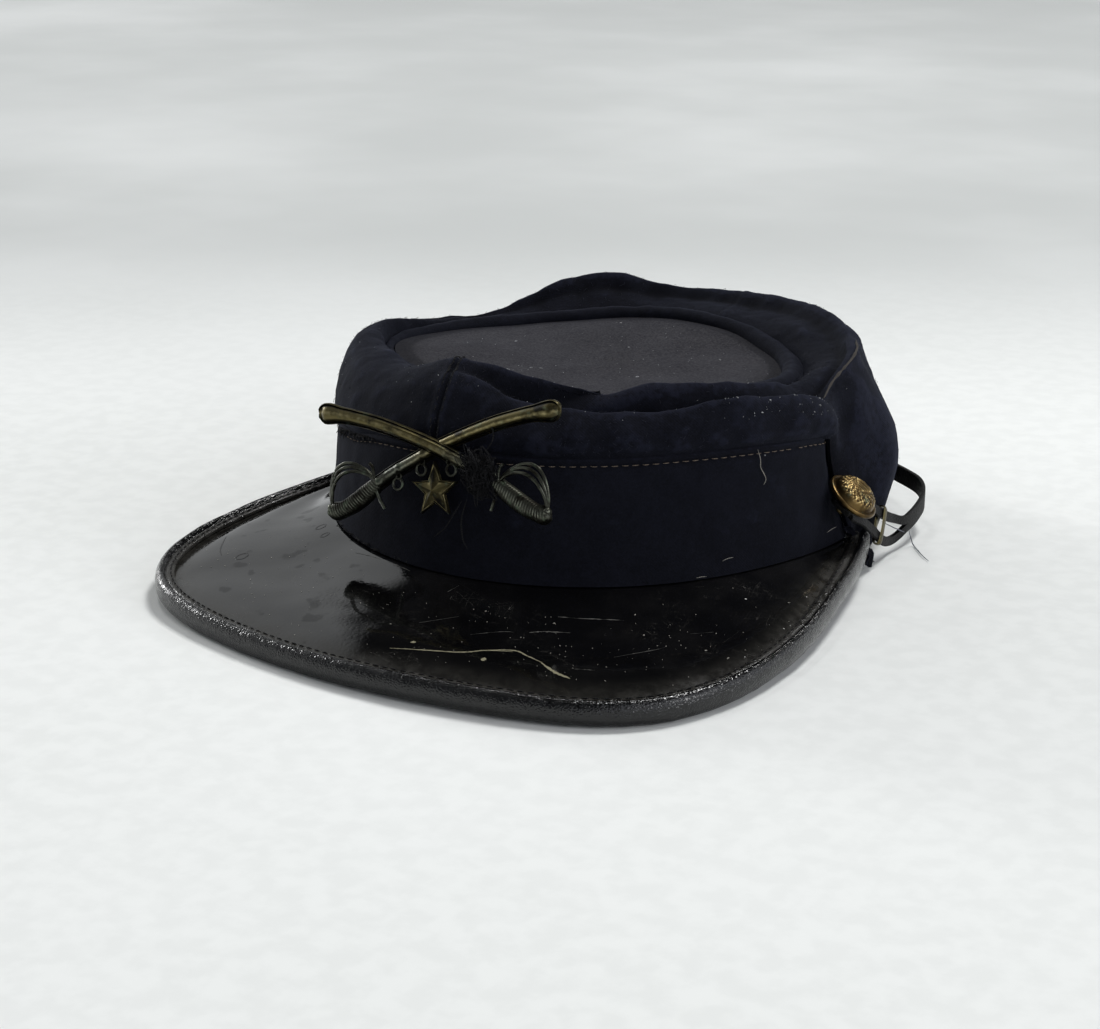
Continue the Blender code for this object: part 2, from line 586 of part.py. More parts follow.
def ring(across, up, depth, radius, thick):
    """A small hanging ring on the badge."""
    count, sides = 8, 4
    turn = np.arange(count)[:, None] * 2.0 * pi / count
    small = np.arange(sides)[None] * 2.0 * pi / sides
    r = radius + thick * np.cos(small)
    points = on_badge(across + r * np.cos(turn), up + r * np.sin(turn), depth + thick * np.sin(small))
    return points.reshape(-1, 3), tube_faces(count, sides, True)


def fused(name, solids, finish):
    """One closed body from solids that run into each other."""
    whole = add(name, *solids[0], finish)
    others = [add(f"{name}_piece", *solid, finish) for solid in solids[1:]]
    for other in others:
        join = whole.modifiers.new("join", "BOOLEAN")
        join.operation = "UNION"
        join.solver = "EXACT"
        join.object = other
    bpy.context.view_layer.update()
    joined = whole.evaluated_get(bpy.context.evaluated_depsgraph_get())
    mesh = bpy.data.meshes.new_from_object(joined)
    whole.modifiers.clear()
    whole.data = mesh
    for other in others:
        bpy.data.objects.remove(other, do_unlink=True)
    return whole


GRIP_PROUD = 0.2
GRIP_SWELL = 0.5
SABER_SIDES = 6
GUARD_ENDS = ((-20.5, -9.8), (-35.0, -17.4))  # across and up, at the cross-piece and at the pommel
GUARD_ROWS = 7
GUARD_WIRE = (0.75, 0.7)  # half width and half depth
GUARD_FULLNESS = 0.7
CROSS_PIECE = [
    SaberStation(-19.8, -14.0, 1.3),
    SaberStation(-20.8, -9.6, 1.0),
    SaberStation(-21.6, -5.2, 1.1),
]
CROSS_DEPTH = 1.3
RING_PLACES = ((-13.3, -9.8), (-5.4, -5.9))
RING_SIZE = (1.6, 0.5)  # radius and half thickness


def saber_rod(rows, side, depth, half_depth, sides):
    line = np.array([(side * row.across, row.up, depth) for row in rows])
    return rod(line, np.array([row.half_width for row in rows]), half_depth, sides)


def saber(side, depth):
    """The solids of one saber: scabbard, cross-piece, grip with its pommel, guard, rings and pin."""
    solids = [
        saber_rod(SCABBARD, side, depth, BADGE_METAL, SABER_SIDES),
        saber_rod(GRIP, side, depth + GRIP_PROUD, BADGE_METAL + GRIP_SWELL, SABER_SIDES),
    ]
    start, end = np.array(GUARD_ENDS)
    along = (end - start) / np.linalg.norm(end - start)
    out = np.array([along[1], -along[0]])
    t = np.linspace(0.0, 1.0, GUARD_ROWS)
    for bow in GUARD:
        swell = np.sin(pi * t) ** GUARD_FULLNESS * bow.out
        path = start + np.outer(t, end - start) + np.outer(swell, out)
        line = np.column_stack([side * path[:, 0], path[:, 1], depth + bow.depth * np.sin(pi * t)])
        solids.append(rod(line, np.full(GUARD_ROWS, GUARD_WIRE[0]), GUARD_WIRE[1], 4))
    solids.append(saber_rod(CROSS_PIECE, side, depth, CROSS_DEPTH, 5))
    for across, up in RING_PLACES:
        solids.append(ring(side * across, up, depth, *RING_SIZE))
    return solids


def make_sabers(finish):
    """The badge: two sabers in their scabbards, stamped as one piece, with pins at the back."""
    solids = saber(-1.0, SABER_DEPTH[0]) + saber(1.0, SABER_DEPTH[1])
    return fused("crossed_sabers", solids, finish)


STAR_RADIUS = 7.8
STAR_INNER = 0.42  # share of the radius at the notches
STAR_PLACE = (-0.8, -11.5, 0.6)  # across, up and out on the badge
STAR_PLATE = 1.0
STAR_PEAK = 1.2  # how far its middle stands over its points


def make_star(finish):
    """A plain five-pointed star below the crossing."""
    turn = np.arange(10) * pi / 5
    reach = np.where(np.arange(10) % 2 == 0, STAR_RADIUS, STAR_RADIUS * STAR_INNER)
    across = STAR_PLACE[0] + reach * np.sin(turn)
    up = STAR_PLACE[1] + reach * np.cos(turn)
    front = on_badge(across, up, STAR_PLACE[2])
    back = on_badge(across, up, STAR_PLACE[2] - STAR_PLATE)
    peak = on_badge([STAR_PLACE[0]], [STAR_PLACE[1]], [STAR_PLACE[2] + STAR_PEAK])
    faces = [(i, (i + 1) % 10, 20) for i in range(10)]
    faces += [(i, 10 + i, 10 + (i + 1) % 10, (i + 1) % 10) for i in range(10)]
    faces.append(tuple(range(10, 20)))
    return add("badge_star", np.vstack([front, back, peak]), faces, finish, smooth_angle=15.0)


# ------------------------------------------------------------------ buttons and strap
BUTTON_FORWARD = 1.2  # of the middle of the head opening
BUTTON_OUT = {"left": 77.7, "right": 77.2}
BUTTON_UP = 24.5
BUTTON_AXIS = (0.61, 0.11, 0.78)  # out, back and up
SHANK = 5.9  # from the rim's plane to the shank's end
BUTTON_PROFILE = [
    (0.0, -SHANK),
    (1.3, -SHANK),
    (1.3, -2.0),
    (5.0, -1.6),
    (7.5, -0.6),
    (BUTTON_RADIUS, 0.1),
    (7.5, 0.7),
    (6.8, 0.7),
    (6.2, 2.2),
    (3.8, 4.0),
    (0.0, 4.7),
]
BUTTON_SIDES = 12


def make_button(name, side, out, finish):
    """A domed two-piece button with its shank, tipped up on its thread."""
    axis = Vector((side * BUTTON_AXIS[0], BUTTON_AXIS[1], BUTTON_AXIS[2])).normalized()
    place = Vector((HEAD_CENTRE[0] + side * out, HEAD_CENTRE[1] - BUTTON_FORWARD, BUTTON_UP))
    turn_to = axis.to_track_quat("Z", "Y").to_matrix()
    turn = np.arange(BUTTON_SIDES) * 2.0 * pi / BUTTON_SIDES
    rings = [[(r * cos(a), r * sin(a), h) for a in turn] for r, h in BUTTON_PROFILE[1:-1]]
    ends = [(0.0, 0.0, BUTTON_PROFILE[0][1]), (0.0, 0.0, BUTTON_PROFILE[-1][1])]
    points = [tuple(turn_to @ Vector(p) + place) for p in sum(rings, []) + ends]
    rows = len(rings)
    faces = tube_faces(rows, BUTTON_SIDES, False)[:-2]
    base, crown = rows * BUTTON_SIDES, rows * BUTTON_SIDES + 1
    for j in range(BUTTON_SIDES):
        k = (j + 1) % BUTTON_SIDES
        faces.append((j, k, base))
        faces.append(((rows - 1) * BUTTON_SIDES + j, (rows - 1) * BUTTON_SIDES + k, crown))
    return add(name, points, faces, finish)


def strap_rows():
    """The strap's middle line with its directions along and across, and the slit's half gap."""
    table = np.array(STRAP, float)
    line = polar(table[:, 1], table[:, 2], table[:, 0])
    values = np.column_stack([line, table[:, 3], table[:, 4]])[None]
    fine = through(values, [2] * (len(STRAP) - 1))[0]
    line, lean, opening = fine[:, :3], np.radians(fine[:, 3:4]), np.maximum(fine[:, 4:5], 0.0)
    along = np.gradient(line, axis=0)
    along /= np.linalg.norm(along, axis=1, keepdims=True)
    up = np.array([0.0, 0.0, 1.0]) - along * along[:, 2:]
    up /= np.linalg.norm(up, axis=1, keepdims=True)
    out = np.cross(along, up)
    wide = up * np.cos(lean) + out * np.sin(lean)
    return line, along, wide, opening[:, 0]


SLIT_LEAST = 0.05  # half gap above which a row belongs to a slit


def make_strap(finish):
    """The chin strap, with a slit near each end that goes over the button's shank."""
    line, along, wide, opening = strap_rows()
    half = STRAP_WIDTH / 2
    points, rows = [], []
    for centre, across, gap in zip(line, wide, opening):
        places = (-half - gap, -gap, gap, half + gap) if gap > SLIT_LEAST else (-half, half)
        rows.append(range(len(points), len(points) + len(places)))
        points += [centre + across * place for place in places]
    faces = []
    last = len(rows) - 2
    for i, (here, there) in enumerate(zip(rows, rows[1:])):
        if len(here) == len(there) == 4:
            columns = (0, 1, 2) if i in (0, last) else (0, 2)
            faces += [(here[c], there[c], there[c + 1], here[c + 1]) for c in columns]
        else:
            faces.append((here[0], *there, *reversed(here[1:])))
    return sheet("chin_strap", np.array(points), faces, STRAP_LEATHER, 0.0, finish)


SLIDE_ROW = 7
SLIDE_WALL = 0.8
SLIDE_LENGTH = 3.0
SLIDE_REACH = 2.2  # past the middle of the branch to its outer edge


def make_slide(finish):
    """A small brass slide round the upper branch of the slit, next to the button."""
    line, along, wide, opening = strap_rows()
    t, w = along[SLIDE_ROW], wide[SLIDE_ROW]
    out = np.cross(t, w)
    low, high = opening[SLIDE_ROW] - GAP, opening[SLIDE_ROW] + STRAP_WIDTH / 2 + SLIDE_REACH
    deep = STRAP_LEATHER / 2 + GAP
    corners = [(low, -deep), (high, -deep), (high, deep), (low, deep)]
    outward = [(-1, -1), (1, -1), (1, 1), (-1, 1)]
    sections = []
    for (u, v), (a, b) in zip(corners, outward):
        inside = line[SLIDE_ROW] + w * u + out * v
        outside = inside + (w * a + out * b) * SLIDE_WALL
        half = t * SLIDE_LENGTH / 2
        sections.append([inside - half, inside + half, outside + half, outside - half])
    return sweep("strap_slide", np.array(sections), finish, closed=True)


# ------------------------------------------------------------------ the whole cap
for old in list(bpy.data.objects):
    bpy.data.objects.remove(old, do_unlink=True)

NAVY_WOOL = material("navy_wool", (0.012, 0.015, 0.035), 0.95)
TOP_WOOL = material("dusty_wool", (0.030, 0.031, 0.040), 0.98)
PATENT = material("patent_leather", (0.008, 0.008, 0.009), 0.18)
BINDING = material("binding_leather", (0.012, 0.012, 0.013), 0.32)
STRAP_BLACK = material("strap_leather", (0.010, 0.010, 0.010), 0.45)
BRASS = material("old_brass", (0.36, 0.30, 0.14), 0.42, 1.0)
BRIGHT_BRASS = material("gilt_brass", (0.72, 0.52, 0.20), 0.35, 1.0)

make_band(NAVY_WOOL)
make_crown(NAVY_WOOL)
make_welt(NAVY_WOOL)
make_top(TOP_WOOL)
make_peak(PATENT)
make_binding(BINDING)
make_sabers(BRASS)
make_star(BRIGHT_BRASS)
make_button("side_button_left", 1.0, BUTTON_OUT["left"], BRIGHT_BRASS)
make_button("side_button_right", -1.0, BUTTON_OUT["right"], BRIGHT_BRASS)
make_strap(STRAP_BLACK)
make_slide(BRASS)
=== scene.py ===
# %% [markdown]
# # A wool kepi, dressed
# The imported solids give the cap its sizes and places. In this lesson each of its cloth, leather and
# brass pieces is made again, in the same place, with folds, seams, stitches, grain and wear.
# Lengths are in millimetres until a mesh is built. +Z is up, the front is -Y, and an azimuth is
# measured in degrees round the head opening, from the front towards the wearer's left.

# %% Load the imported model
from math import cos, pi, radians, sin

import bmesh
import bpy
import numpy as np
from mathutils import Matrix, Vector
from mathutils.bvhtree import BVHTree


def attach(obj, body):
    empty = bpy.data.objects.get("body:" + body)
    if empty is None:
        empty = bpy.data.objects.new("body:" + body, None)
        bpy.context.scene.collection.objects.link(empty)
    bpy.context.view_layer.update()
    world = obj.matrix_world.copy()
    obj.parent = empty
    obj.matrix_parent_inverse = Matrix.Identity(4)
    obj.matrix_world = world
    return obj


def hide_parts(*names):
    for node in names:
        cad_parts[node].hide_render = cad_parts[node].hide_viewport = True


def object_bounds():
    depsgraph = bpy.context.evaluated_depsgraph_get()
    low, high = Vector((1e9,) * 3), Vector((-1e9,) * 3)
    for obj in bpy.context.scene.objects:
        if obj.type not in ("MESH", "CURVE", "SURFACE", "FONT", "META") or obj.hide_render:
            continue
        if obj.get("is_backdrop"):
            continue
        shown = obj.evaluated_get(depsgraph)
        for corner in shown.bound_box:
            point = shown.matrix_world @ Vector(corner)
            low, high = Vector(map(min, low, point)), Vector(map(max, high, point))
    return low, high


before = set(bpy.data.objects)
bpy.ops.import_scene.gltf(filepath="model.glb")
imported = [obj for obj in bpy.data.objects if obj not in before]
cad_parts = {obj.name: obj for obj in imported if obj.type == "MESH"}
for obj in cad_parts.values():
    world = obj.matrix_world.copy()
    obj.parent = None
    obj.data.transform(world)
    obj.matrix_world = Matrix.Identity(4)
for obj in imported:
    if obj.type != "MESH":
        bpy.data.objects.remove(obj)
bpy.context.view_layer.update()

# %% [markdown]
# ## The camera
# The photograph looks down on the cap from its front left. The camera stands on a ray at 32.5 degrees
# of azimuth and 19.5 degrees of height, and aims a little to one side so that the frame matches
# without any lens shift.

# %% The camera
MM = 0.001
HEAD_CENTRE = (-4.0, 25.9)
PEAK_CENTRE = (HEAD_CENTRE[0] + 4.0, HEAD_CENTRE[1] - 8.0)
VIEW_AZIMUTH, VIEW_HEIGHT, VIEW_DISTANCE = radians(32.5), radians(19.5), 700.0
AIM_SIDE, AIM_UP = -17.3, 5.7
PICTURE_WIDTH, FOCUS_PIXELS, SENSOR = 1100, 2323.8, 36.0

back = np.array([
    sin(VIEW_AZIMUTH) * cos(VIEW_HEIGHT), -cos(VIEW_AZIMUTH) * cos(VIEW_HEIGHT), sin(VIEW_HEIGHT)
])
side = np.array([cos(VIEW_AZIMUTH), sin(VIEW_AZIMUTH), 0.0])
view_base = np.array([PEAK_CENTRE[0] - 4.0, PEAK_CENTRE[1], 0.0])
stand = view_base + back * VIEW_DISTANCE
aim = view_base + side * AIM_SIDE + np.cross(back, side) * AIM_UP
eye = bpy.data.objects.new("camera", bpy.data.cameras.new("camera"))
eye.data.sensor_width = SENSOR
eye.data.lens = FOCUS_PIXELS / PICTURE_WIDTH * SENSOR
eye.data.clip_start = 0.01
eye.location = stand * MM
eye.rotation_mode = "QUATERNION"
eye.rotation_quaternion = Vector((aim - stand) * MM).to_track_quat("-Z", "Y")
bpy.context.scene.collection.objects.link(eye)
bpy.context.scene.camera = eye
print("lens", round(eye.data.lens, 2), "mm, from", np.round(stand), "to", np.round(aim))

# %% [markdown]
# ## Curves and grids
# Every surface here is a grid of points worked out by numpy in one go: a profile is read at every
# azimuth, and two index arrays give the four corners of every face. A spline through a short table is
# smoother than straight lines, and it is the same curve that the solids are made from.

# %% Curves through short tables


def rows_of(text):
    """Rows of numbers from a text, parted by slashes and ends of lines."""
    lines = text.replace("/", "\n").splitlines()
    return np.array([line.split() for line in lines if line.strip()], float)


def table(names, text):
    """The columns of such a text, by name."""
    return dict(zip(names.split(), rows_of(text).T))


def cyclic(rows, column, at):
    """A closed cubic spline through a table's column: its bends make slope and curvature continuous."""
    knots, values = rows["azimuth"], rows[column]
    n = len(knots)
    step = np.diff(np.append(knots, knots[0] + 360.0))
    rise = np.diff(np.append(values, values[0])) / step
    system = np.zeros((n, n))
    row = np.arange(n)
    system[row, row - 1] = step[row - 1]
    system[row, row] = 2.0 * (step[row - 1] + step)
    system[row, (row + 1) % n] = step
    bend = np.linalg.solve(system, 6.0 * (rise - rise[row - 1]))
    turned = (np.asarray(at, float) - knots[0]) % 360.0
    i = np.searchsorted(knots - knots[0], turned, side="right") - 1
    t = turned - (knots[i] - knots[0])
    h = step[i]
    here, there = bend[i], bend[(i + 1) % n]
    slope = rise[i] - h * (2.0 * here + there) / 6.0
    return values[i] + t * slope + t * t * here / 2.0 + t**3 * (there - here) / (6.0 * h)


def natural(rows, column, at):
    """An open cubic spline through a table's column, straight at its ends."""
    knots, values = rows["azimuth"], rows[column]
    n = len(knots)
    step = np.diff(knots)
    rise = np.diff(values) / step
    system = np.eye(n)
    load = np.zeros(n)
    k = np.arange(1, n - 1)
    system[k, k - 1], system[k, k], system[k, k + 1] = step[k - 1], 2.0 * (step[k - 1] + step[k]), step[k]
    load[k] = 6.0 * (rise[k] - rise[k - 1])
    bend = np.linalg.solve(system, load)
    at = np.asarray(at, float)
    i = np.clip(np.searchsorted(knots, at, side="right") - 1, 0, n - 2)
    t, h = at - knots[i], step[i]
    slope = rise[i] - h * (2.0 * bend[i] + bend[i + 1]) / 6.0
    return values[i] + t * slope + t * t * bend[i] / 2.0 + t**3 * (bend[i + 1] - bend[i]) / (6.0 * h)


def through(stations, count):
    """Catmull-Rom lines through stations of shape (lines, stations, values), count steps to a span."""
    first = 2 * stations[:, :1] - stations[:, 1:2]
    last = 2 * stations[:, -1:] - stations[:, -2:-1]
    p = np.concatenate([first, stations, last], axis=1)
    a, b, c, d = (p[:, k : p.shape[1] - 3 + k, None] for k in range(4))
    t = (np.arange(count) / count)[None, None, :, None]
    fine = 0.5 * (2 * b + (c - a) * t + (2 * a - 5 * b + 4 * c - d) * t**2 + (3 * b - a - 3 * c + d) * t**3)
    fine = fine.reshape(len(stations), -1, stations.shape[-1])
    return np.concatenate([fine, stations[:, -1:]], axis=1)


def smoothstep(low, high, x):
    """0 below low, 1 above high, and 3t^2 - 2t^3 between."""
    t = np.clip((np.asarray(x, float) - low) / (high - low), 0.0, 1.0)
    return t * t * (3.0 - 2.0 * t)


def walked(line):
    """The way gone along a line up to each of its points."""
    return np.concatenate([[0.0], np.cumsum(np.linalg.norm(np.diff(line, axis=0), axis=1))])


def hump(x, middle, width):
    """A bell, exp(-((x - middle) / width)^2)."""
    return np.exp(-(((x - middle) / width) ** 2))


def polar(r, z, azimuth, centre=HEAD_CENTRE):
    """Points (x0 + r sin a, y0 - r cos a, z) for arrays of any one shape."""
    a = np.radians(azimuth)
    r, z, a = np.broadcast_arrays(np.asarray(r, float), np.asarray(z, float), a)
    return np.stack([centre[0] + r * np.sin(a), centre[1] - r * np.cos(a), z], axis=-1)


def unit(v):
    """Each vector divided by its length."""
    return v / np.maximum(np.linalg.norm(v, axis=-1, keepdims=True), 1e-9)


def ripple(points, wave, seed):
    """An uneven height of about -1 to 1: the mean of sines along seeded directions, near one wave length."""
    count, draw = 14, np.random.default_rng(seed)
    way = unit(draw.normal(size=(count, 3))) * (2 * pi / (wave * draw.uniform(0.7, 1.5, (count, 1))))
    return np.sin(points @ way.T + draw.uniform(0, 2 * pi, count)).sum(-1) / (1.35 * np.sqrt(count))


print("halfway along a smooth step:", round(float(smoothstep(0, 2, 1)), 2))

# %% [markdown]
# ## From grid to mesh
# A grid can close round its rows, as a hoop does, and round its columns, as a tube does. The corner
# indices are whole arrays. The UV map holds real lengths in millimetres along the rows and columns, so
# a weave or a wave pattern keeps its size wherever the cloth goes. Two more values are stored at each
# point: how far it stands out from its neighbourhood, and how deep it lies. The finishes use them for
# rubbed edges, which on the wool and the sabers also hold a painted sheen and a painted highlight, and
# for darker creases, which are painted shade on the wool and tarnish on the brass.

# %% Grids, normals and relief


def corners(rows, columns, around, across):
    """Row and column numbers of the four corners of every face, still unwrapped at the joins."""
    i, j = np.meshgrid(
        np.arange(rows if around else rows - 1), np.arange(columns if across else columns - 1), indexing="ij"
    )
    i, j = i.ravel(), j.ravel()
    return np.stack([i, i + 1, i + 1, i], -1), np.stack([j, j, j + 1, j + 1], -1)


def steps(points, axis, wrap):
    """Central differences along one axis of a grid, round the join where it wraps."""
    if wrap:
        return np.roll(points, -1, axis) - np.roll(points, 1, axis)
    return np.gradient(points, axis=axis)


def normals(points, around=False, across=False):
    """Unit normals: the row direction crossed with the column direction."""
    return unit(np.cross(steps(points, 0, around), steps(points, 1, across)))


def standing(points, normal, reach, around, across):
    """How far each point stands out, in mm: its distance along the normal from the mean of four others."""
    mean = 0.0
    for axis, wrap in ((0, around), (1, across)):
        for way in (-reach, reach):
            moved = np.roll(points, way, axis)
            if not wrap:
                edge = np.take(points, 0 if way > 0 else -1, axis=axis)
                index = [slice(None), slice(None)]
                index[axis] = slice(0, way) if way > 0 else slice(way, None)
                moved[tuple(index)] = np.expand_dims(edge, axis)
            mean = mean + moved / 4
    return ((points - mean) * normal).sum(-1)


def relaxed(field, passes):
    """A grid that closes along its rows, each value moved halfway to the mean of its four neighbours."""
    for _ in range(passes):
        sides = np.concatenate([field[:, :1], field, field[:, -1:]], axis=1)
        mean = (np.roll(field, 1, 0) + np.roll(field, -1, 0) + sides[:, 2:] + sides[:, :-2]) / 4
        field = (field + mean) / 2
    return field


def lengths(points, around, across):
    """Real lengths along the grid, in mm, with one more row and column where it wraps."""
    closed = np.concatenate([points, points[:1]], 0) if around else points
    closed = np.concatenate([closed, closed[:, :1]], 1) if across else closed
    u = np.linalg.norm(np.diff(closed, axis=0), axis=-1).mean(1)
    v = np.linalg.norm(np.diff(closed, axis=1), axis=-1)
    u = np.concatenate([[0.0], np.cumsum(u)])
    v = np.concatenate([np.zeros((len(closed), 1)), np.cumsum(v, 1)], 1)
    return np.stack([np.broadcast_to(u[:, None], v.shape), v], -1)


print("corners of a 3 x 3 sheet:", corners(3, 3, False, False)[0].shape)

# %% Turning parts into one piece


def piece(name, parts, finish, replaced=(), smooth_angle=60.0, merge=0.0):
    """One object from parts, each (points, faces, uv, stands out, lies deep, tint), joined in one mesh."""
    base, all_points, faces, uv, out, deep, tints = 0, [], [], [], [], [], []
    for points, quads, corner_uv, rise, hollow, tint in parts:
        all_points.append(points)
        faces += [tuple(base + k for k in face) for face in quads]
        uv.append(corner_uv)
        out.append(np.broadcast_to(rise, len(points)))
        deep.append(np.broadcast_to(hollow, len(points)))
        tints.append(np.broadcast_to(tint, len(points)))
        base += len(points)
    all_points = np.concatenate(all_points) * MM
    mesh = bpy.data.meshes.new(name)
    mesh.from_pydata(all_points, [], faces)
    for label, values in (("worn_and_lit", out), ("deep", deep), ("tint", tints)):
        layer = mesh.attributes.new(label, "FLOAT", "POINT")
        layer.data.foreach_set("value", np.concatenate(values).astype(np.float32))
    layer = mesh.uv_layers.new(name="lengths")
    layer.data.foreach_set("uv", np.concatenate(uv).astype(np.float32).ravel())
    made = bmesh.new()
    made.from_mesh(mesh)
    if merge:
        bmesh.ops.remove_doubles(made, verts=made.verts, dist=merge * MM)
    bmesh.ops.recalc_face_normals(made, faces=made.faces)
    made.to_mesh(mesh)
    made.free()
    mesh.shade_smooth()
    mesh.set_sharp_from_angle(angle=radians(smooth_angle))
    mesh.materials.append(finish)
    made = bpy.data.objects.new(name, mesh)
    bpy.context.scene.collection.objects.link(made)
    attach(made, "root")
    if replaced:
        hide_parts(*replaced)
    print(f"{name}: {len(mesh.vertices)} points, {len(mesh.polygons)} faces")
    return made


# %% Grids, walls and tubes as parts


def part(points, around=False, across=False, caps=False, reach=4, crest=0.35, face=None, tint=0.0):
    """A grid as a part for piece(). crest is the standing height, in mm, that counts as fully worn, and as
    fully lit where a finish paints its sheen or highlight from it.
    Where face is given, only that many columns have relief, and the rest is a hidden inner side."""
    rows, columns = points.shape[:2]
    i, j = corners(rows, columns, around, across)
    quads = ((i % rows) * columns + j % columns).tolist()
    measured = lengths(points, around, across)
    corner_uv = measured[i, j].reshape(-1, 2)
    if face:
        rise = np.zeros((rows, columns))
        outside = points[:, :face]
        rise[:, :face] = standing(outside, normals(outside, around), reach, around, False)
        rise = rise.ravel()
    else:
        rise = standing(points, normals(points, around, across), reach, around, across).ravel()
    if caps:
        quads += [list(range(columns))[::-1], [(rows - 1) * columns + k for k in range(columns)]]
        corner_uv = np.concatenate([corner_uv, measured[0, :columns][::-1], measured[-1, :columns]])
    # worn_and_lit is wear, and the wool paints its sheen with it; deep darkens the wool's creases as painted
    # shade and the brass's hollows as tarnish.
    worn_and_lit, deep = np.clip(rise / crest, 0, 1), np.clip(-rise / crest, 0, 1)
    return points.reshape(-1, 3), quads, corner_uv, worn_and_lit, deep, np.broadcast_to(tint, (rows, columns)).ravel()


def walled(outer, thickness, around=True):
    """A sheet with a wall: the outer grid, then the same grid moved inwards along its normals."""
    inner = outer - normals(outer, around) * thickness
    return np.concatenate([outer, inner[:, ::-1]], axis=1)


def tubes(paths, radius, sides=5):
    """Closed tubes along paths of shape (count, steps, 3): rings square to each path, in one array."""
    count, rows = paths.shape[:2]
    along = unit(np.gradient(paths, axis=1))
    helper = np.where(np.abs(along[..., 2:]) > 0.9, [1.0, 0.0, 0.0], [0.0, 0.0, 1.0])
    wide = unit(np.cross(along, helper))
    high = np.cross(wide, along)
    turn = np.arange(sides) * 2 * pi / sides
    r = np.broadcast_to(radius, (count, rows))[..., None, None]
    rings = wide[:, :, None] * np.cos(turn)[:, None] + high[:, :, None] * np.sin(turn)[:, None]
    return [part(line, across=True, caps=True, reach=1) for line in paths[:, :, None] + r * rings]


def tapered(rows, ends=0.25):
    """Radii that swell from the ends of a thread to its middle: sin of the way along, to a small power."""
    return np.maximum(np.sin(np.linspace(0, pi, rows)) ** 0.35, ends)


print("radii along a thread:", np.round(tapered(5), 2))

# %% [markdown]
# ## Finishes as node groups
# Wool, lacquer, grained leather and old brass share a few effects. Each effect is one shader node
# group, built once, with named inputs, so that each finish sets its own values. A group gives out only
# masks and heights, and the Principled shader stays in the finish itself.

# %% Helpers for node trees


class Bench:
    """Holds the node tree that is being wired."""
    tree = None


def join(value, socket):
    """Links a socket's input where the value is another socket, and sets it otherwise."""
    if isinstance(value, bpy.types.NodeSocket):
        Bench.tree.links.new(value, socket)
    else:
        socket.default_value = value


def put(kind, inputs=None, **settings):
    """A node on the bench with its settings and its inputs."""
    node = Bench.tree.nodes.new("ShaderNode" + kind)
    for key, value in settings.items():
        setattr(node, key, value)
    for key, value in (inputs or {}).items():
        join(value, node.inputs[key])
    return node


def maths(operation, a, b=0.0, c=0.0):
    """One sum of up to three numbers."""
    return put("Math", {0: a, 1: b, 2: c}, operation=operation).outputs[0]


def times(a, b):
    """The product of two numbers."""
    return maths("MULTIPLY", a, b)


def split(vector):
    """A vector's three numbers."""
    return put("SeparateXYZ", {0: vector}).outputs


def scaled(vector, by):
    """A vector times a number."""
    return put("VectorMath", {0: vector, "Scale": by}, operation="SCALE").outputs[0]


def along_way(vector, way):
    """How far a vector goes in a direction: their dot product."""
    return put("VectorMath", {0: vector, 1: way}, operation="DOT_PRODUCT").outputs["Value"]


def stored(name):
    """A value that the mesh keeps at each point."""
    return put("Attribute", attribute_name=name).outputs["Fac"]


def ramped(value, low, high, start=0.0, end=1.0):
    """A value mapped smoothly from low..high to start..end."""
    inputs = {"Value": value, "From Min": low, "From Max": high, "To Min": start, "To Max": end}
    return put("MapRange", inputs, interpolation_type="SMOOTHSTEP").outputs[0]


def mixed(factor, a, b):
    """Colour a where the factor is 0 and b where it is 1."""
    a = a if isinstance(a, bpy.types.NodeSocket) else (*a, 1.0)
    b = b if isinstance(b, bpy.types.NodeSocket) else (*b, 1.0)
    return put("Mix", {0: factor, 6: a, 7: b}, data_type="RGBA").outputs[2]


def noise(place, size, detail=3.0, roughness=0.55):
    """Noise whose lumps are about size millimetres, where place is in millimetres."""
    inputs = {"Vector": place, "Scale": 1.0 / size, "Detail": detail, "Roughness": roughness}
    return put("TexNoise", inputs).outputs["Fac"]


def group(name, inputs, outputs, wire):
    """A shader node group: wire(its inputs) returns its output sockets by name."""
    tree = Bench.tree = bpy.data.node_groups.new(name, "ShaderNodeTree")
    for label, value in inputs.items():
        kind = "NodeSocketVector" if value is None else "NodeSocketFloat"
        socket = tree.interface.new_socket(label, in_out="INPUT", socket_type=kind)
        if value is not None:
            socket.default_value = value
    for label in outputs:
        tree.interface.new_socket(label, in_out="OUTPUT", socket_type="NodeSocketFloat")
    entry, leave = tree.nodes.new("NodeGroupInput"), tree.nodes.new("NodeGroupOutput")
    for label, socket in wire(entry.outputs).items():
        join(socket, leave.inputs[label])
    return tree


def use(made, **values):
    """A group placed on the bench, with its inputs set or linked."""
    return put("Group", values, node_tree=made).outputs


# %% The shared effects: nap, specks and grain


def wire_nap(get):
    """Twill ribs, sin of (u + v), under a felted nap of three sizes of noise."""
    lay = split(get["Lengths"])
    rib = times(maths("ADD", lay[0], lay[1]), 2 * pi)
    rib = maths("SINE", maths("DIVIDE", rib, get["Rib"]))
    thread = maths("SINE", maths("DIVIDE", times(lay[1], 4 * pi), get["Rib"]))
    weave = maths("MULTIPLY_ADD", thread, 0.3, rib)
    fine, lump = noise(get["Place"], 0.55, 2.0), noise(get["Place"], 2.6)
    high = maths("MULTIPLY_ADD", weave, 0.09, times(fine, 0.8))
    high = maths("MULTIPLY_ADD", lump, 0.5, high)
    cloud = noise(get["Place"], 17.0, 4.0, 0.6)
    tone = maths("MULTIPLY_ADD", lump, 0.35, times(cloud, 0.65))
    fleck = ramped(noise(get["Place"], 0.7, 3.0, 0.7), 0.36, 0.66)
    return {"Height": high, "Tone": ramped(tone, 0.33, 0.66), "Fleck": fleck}


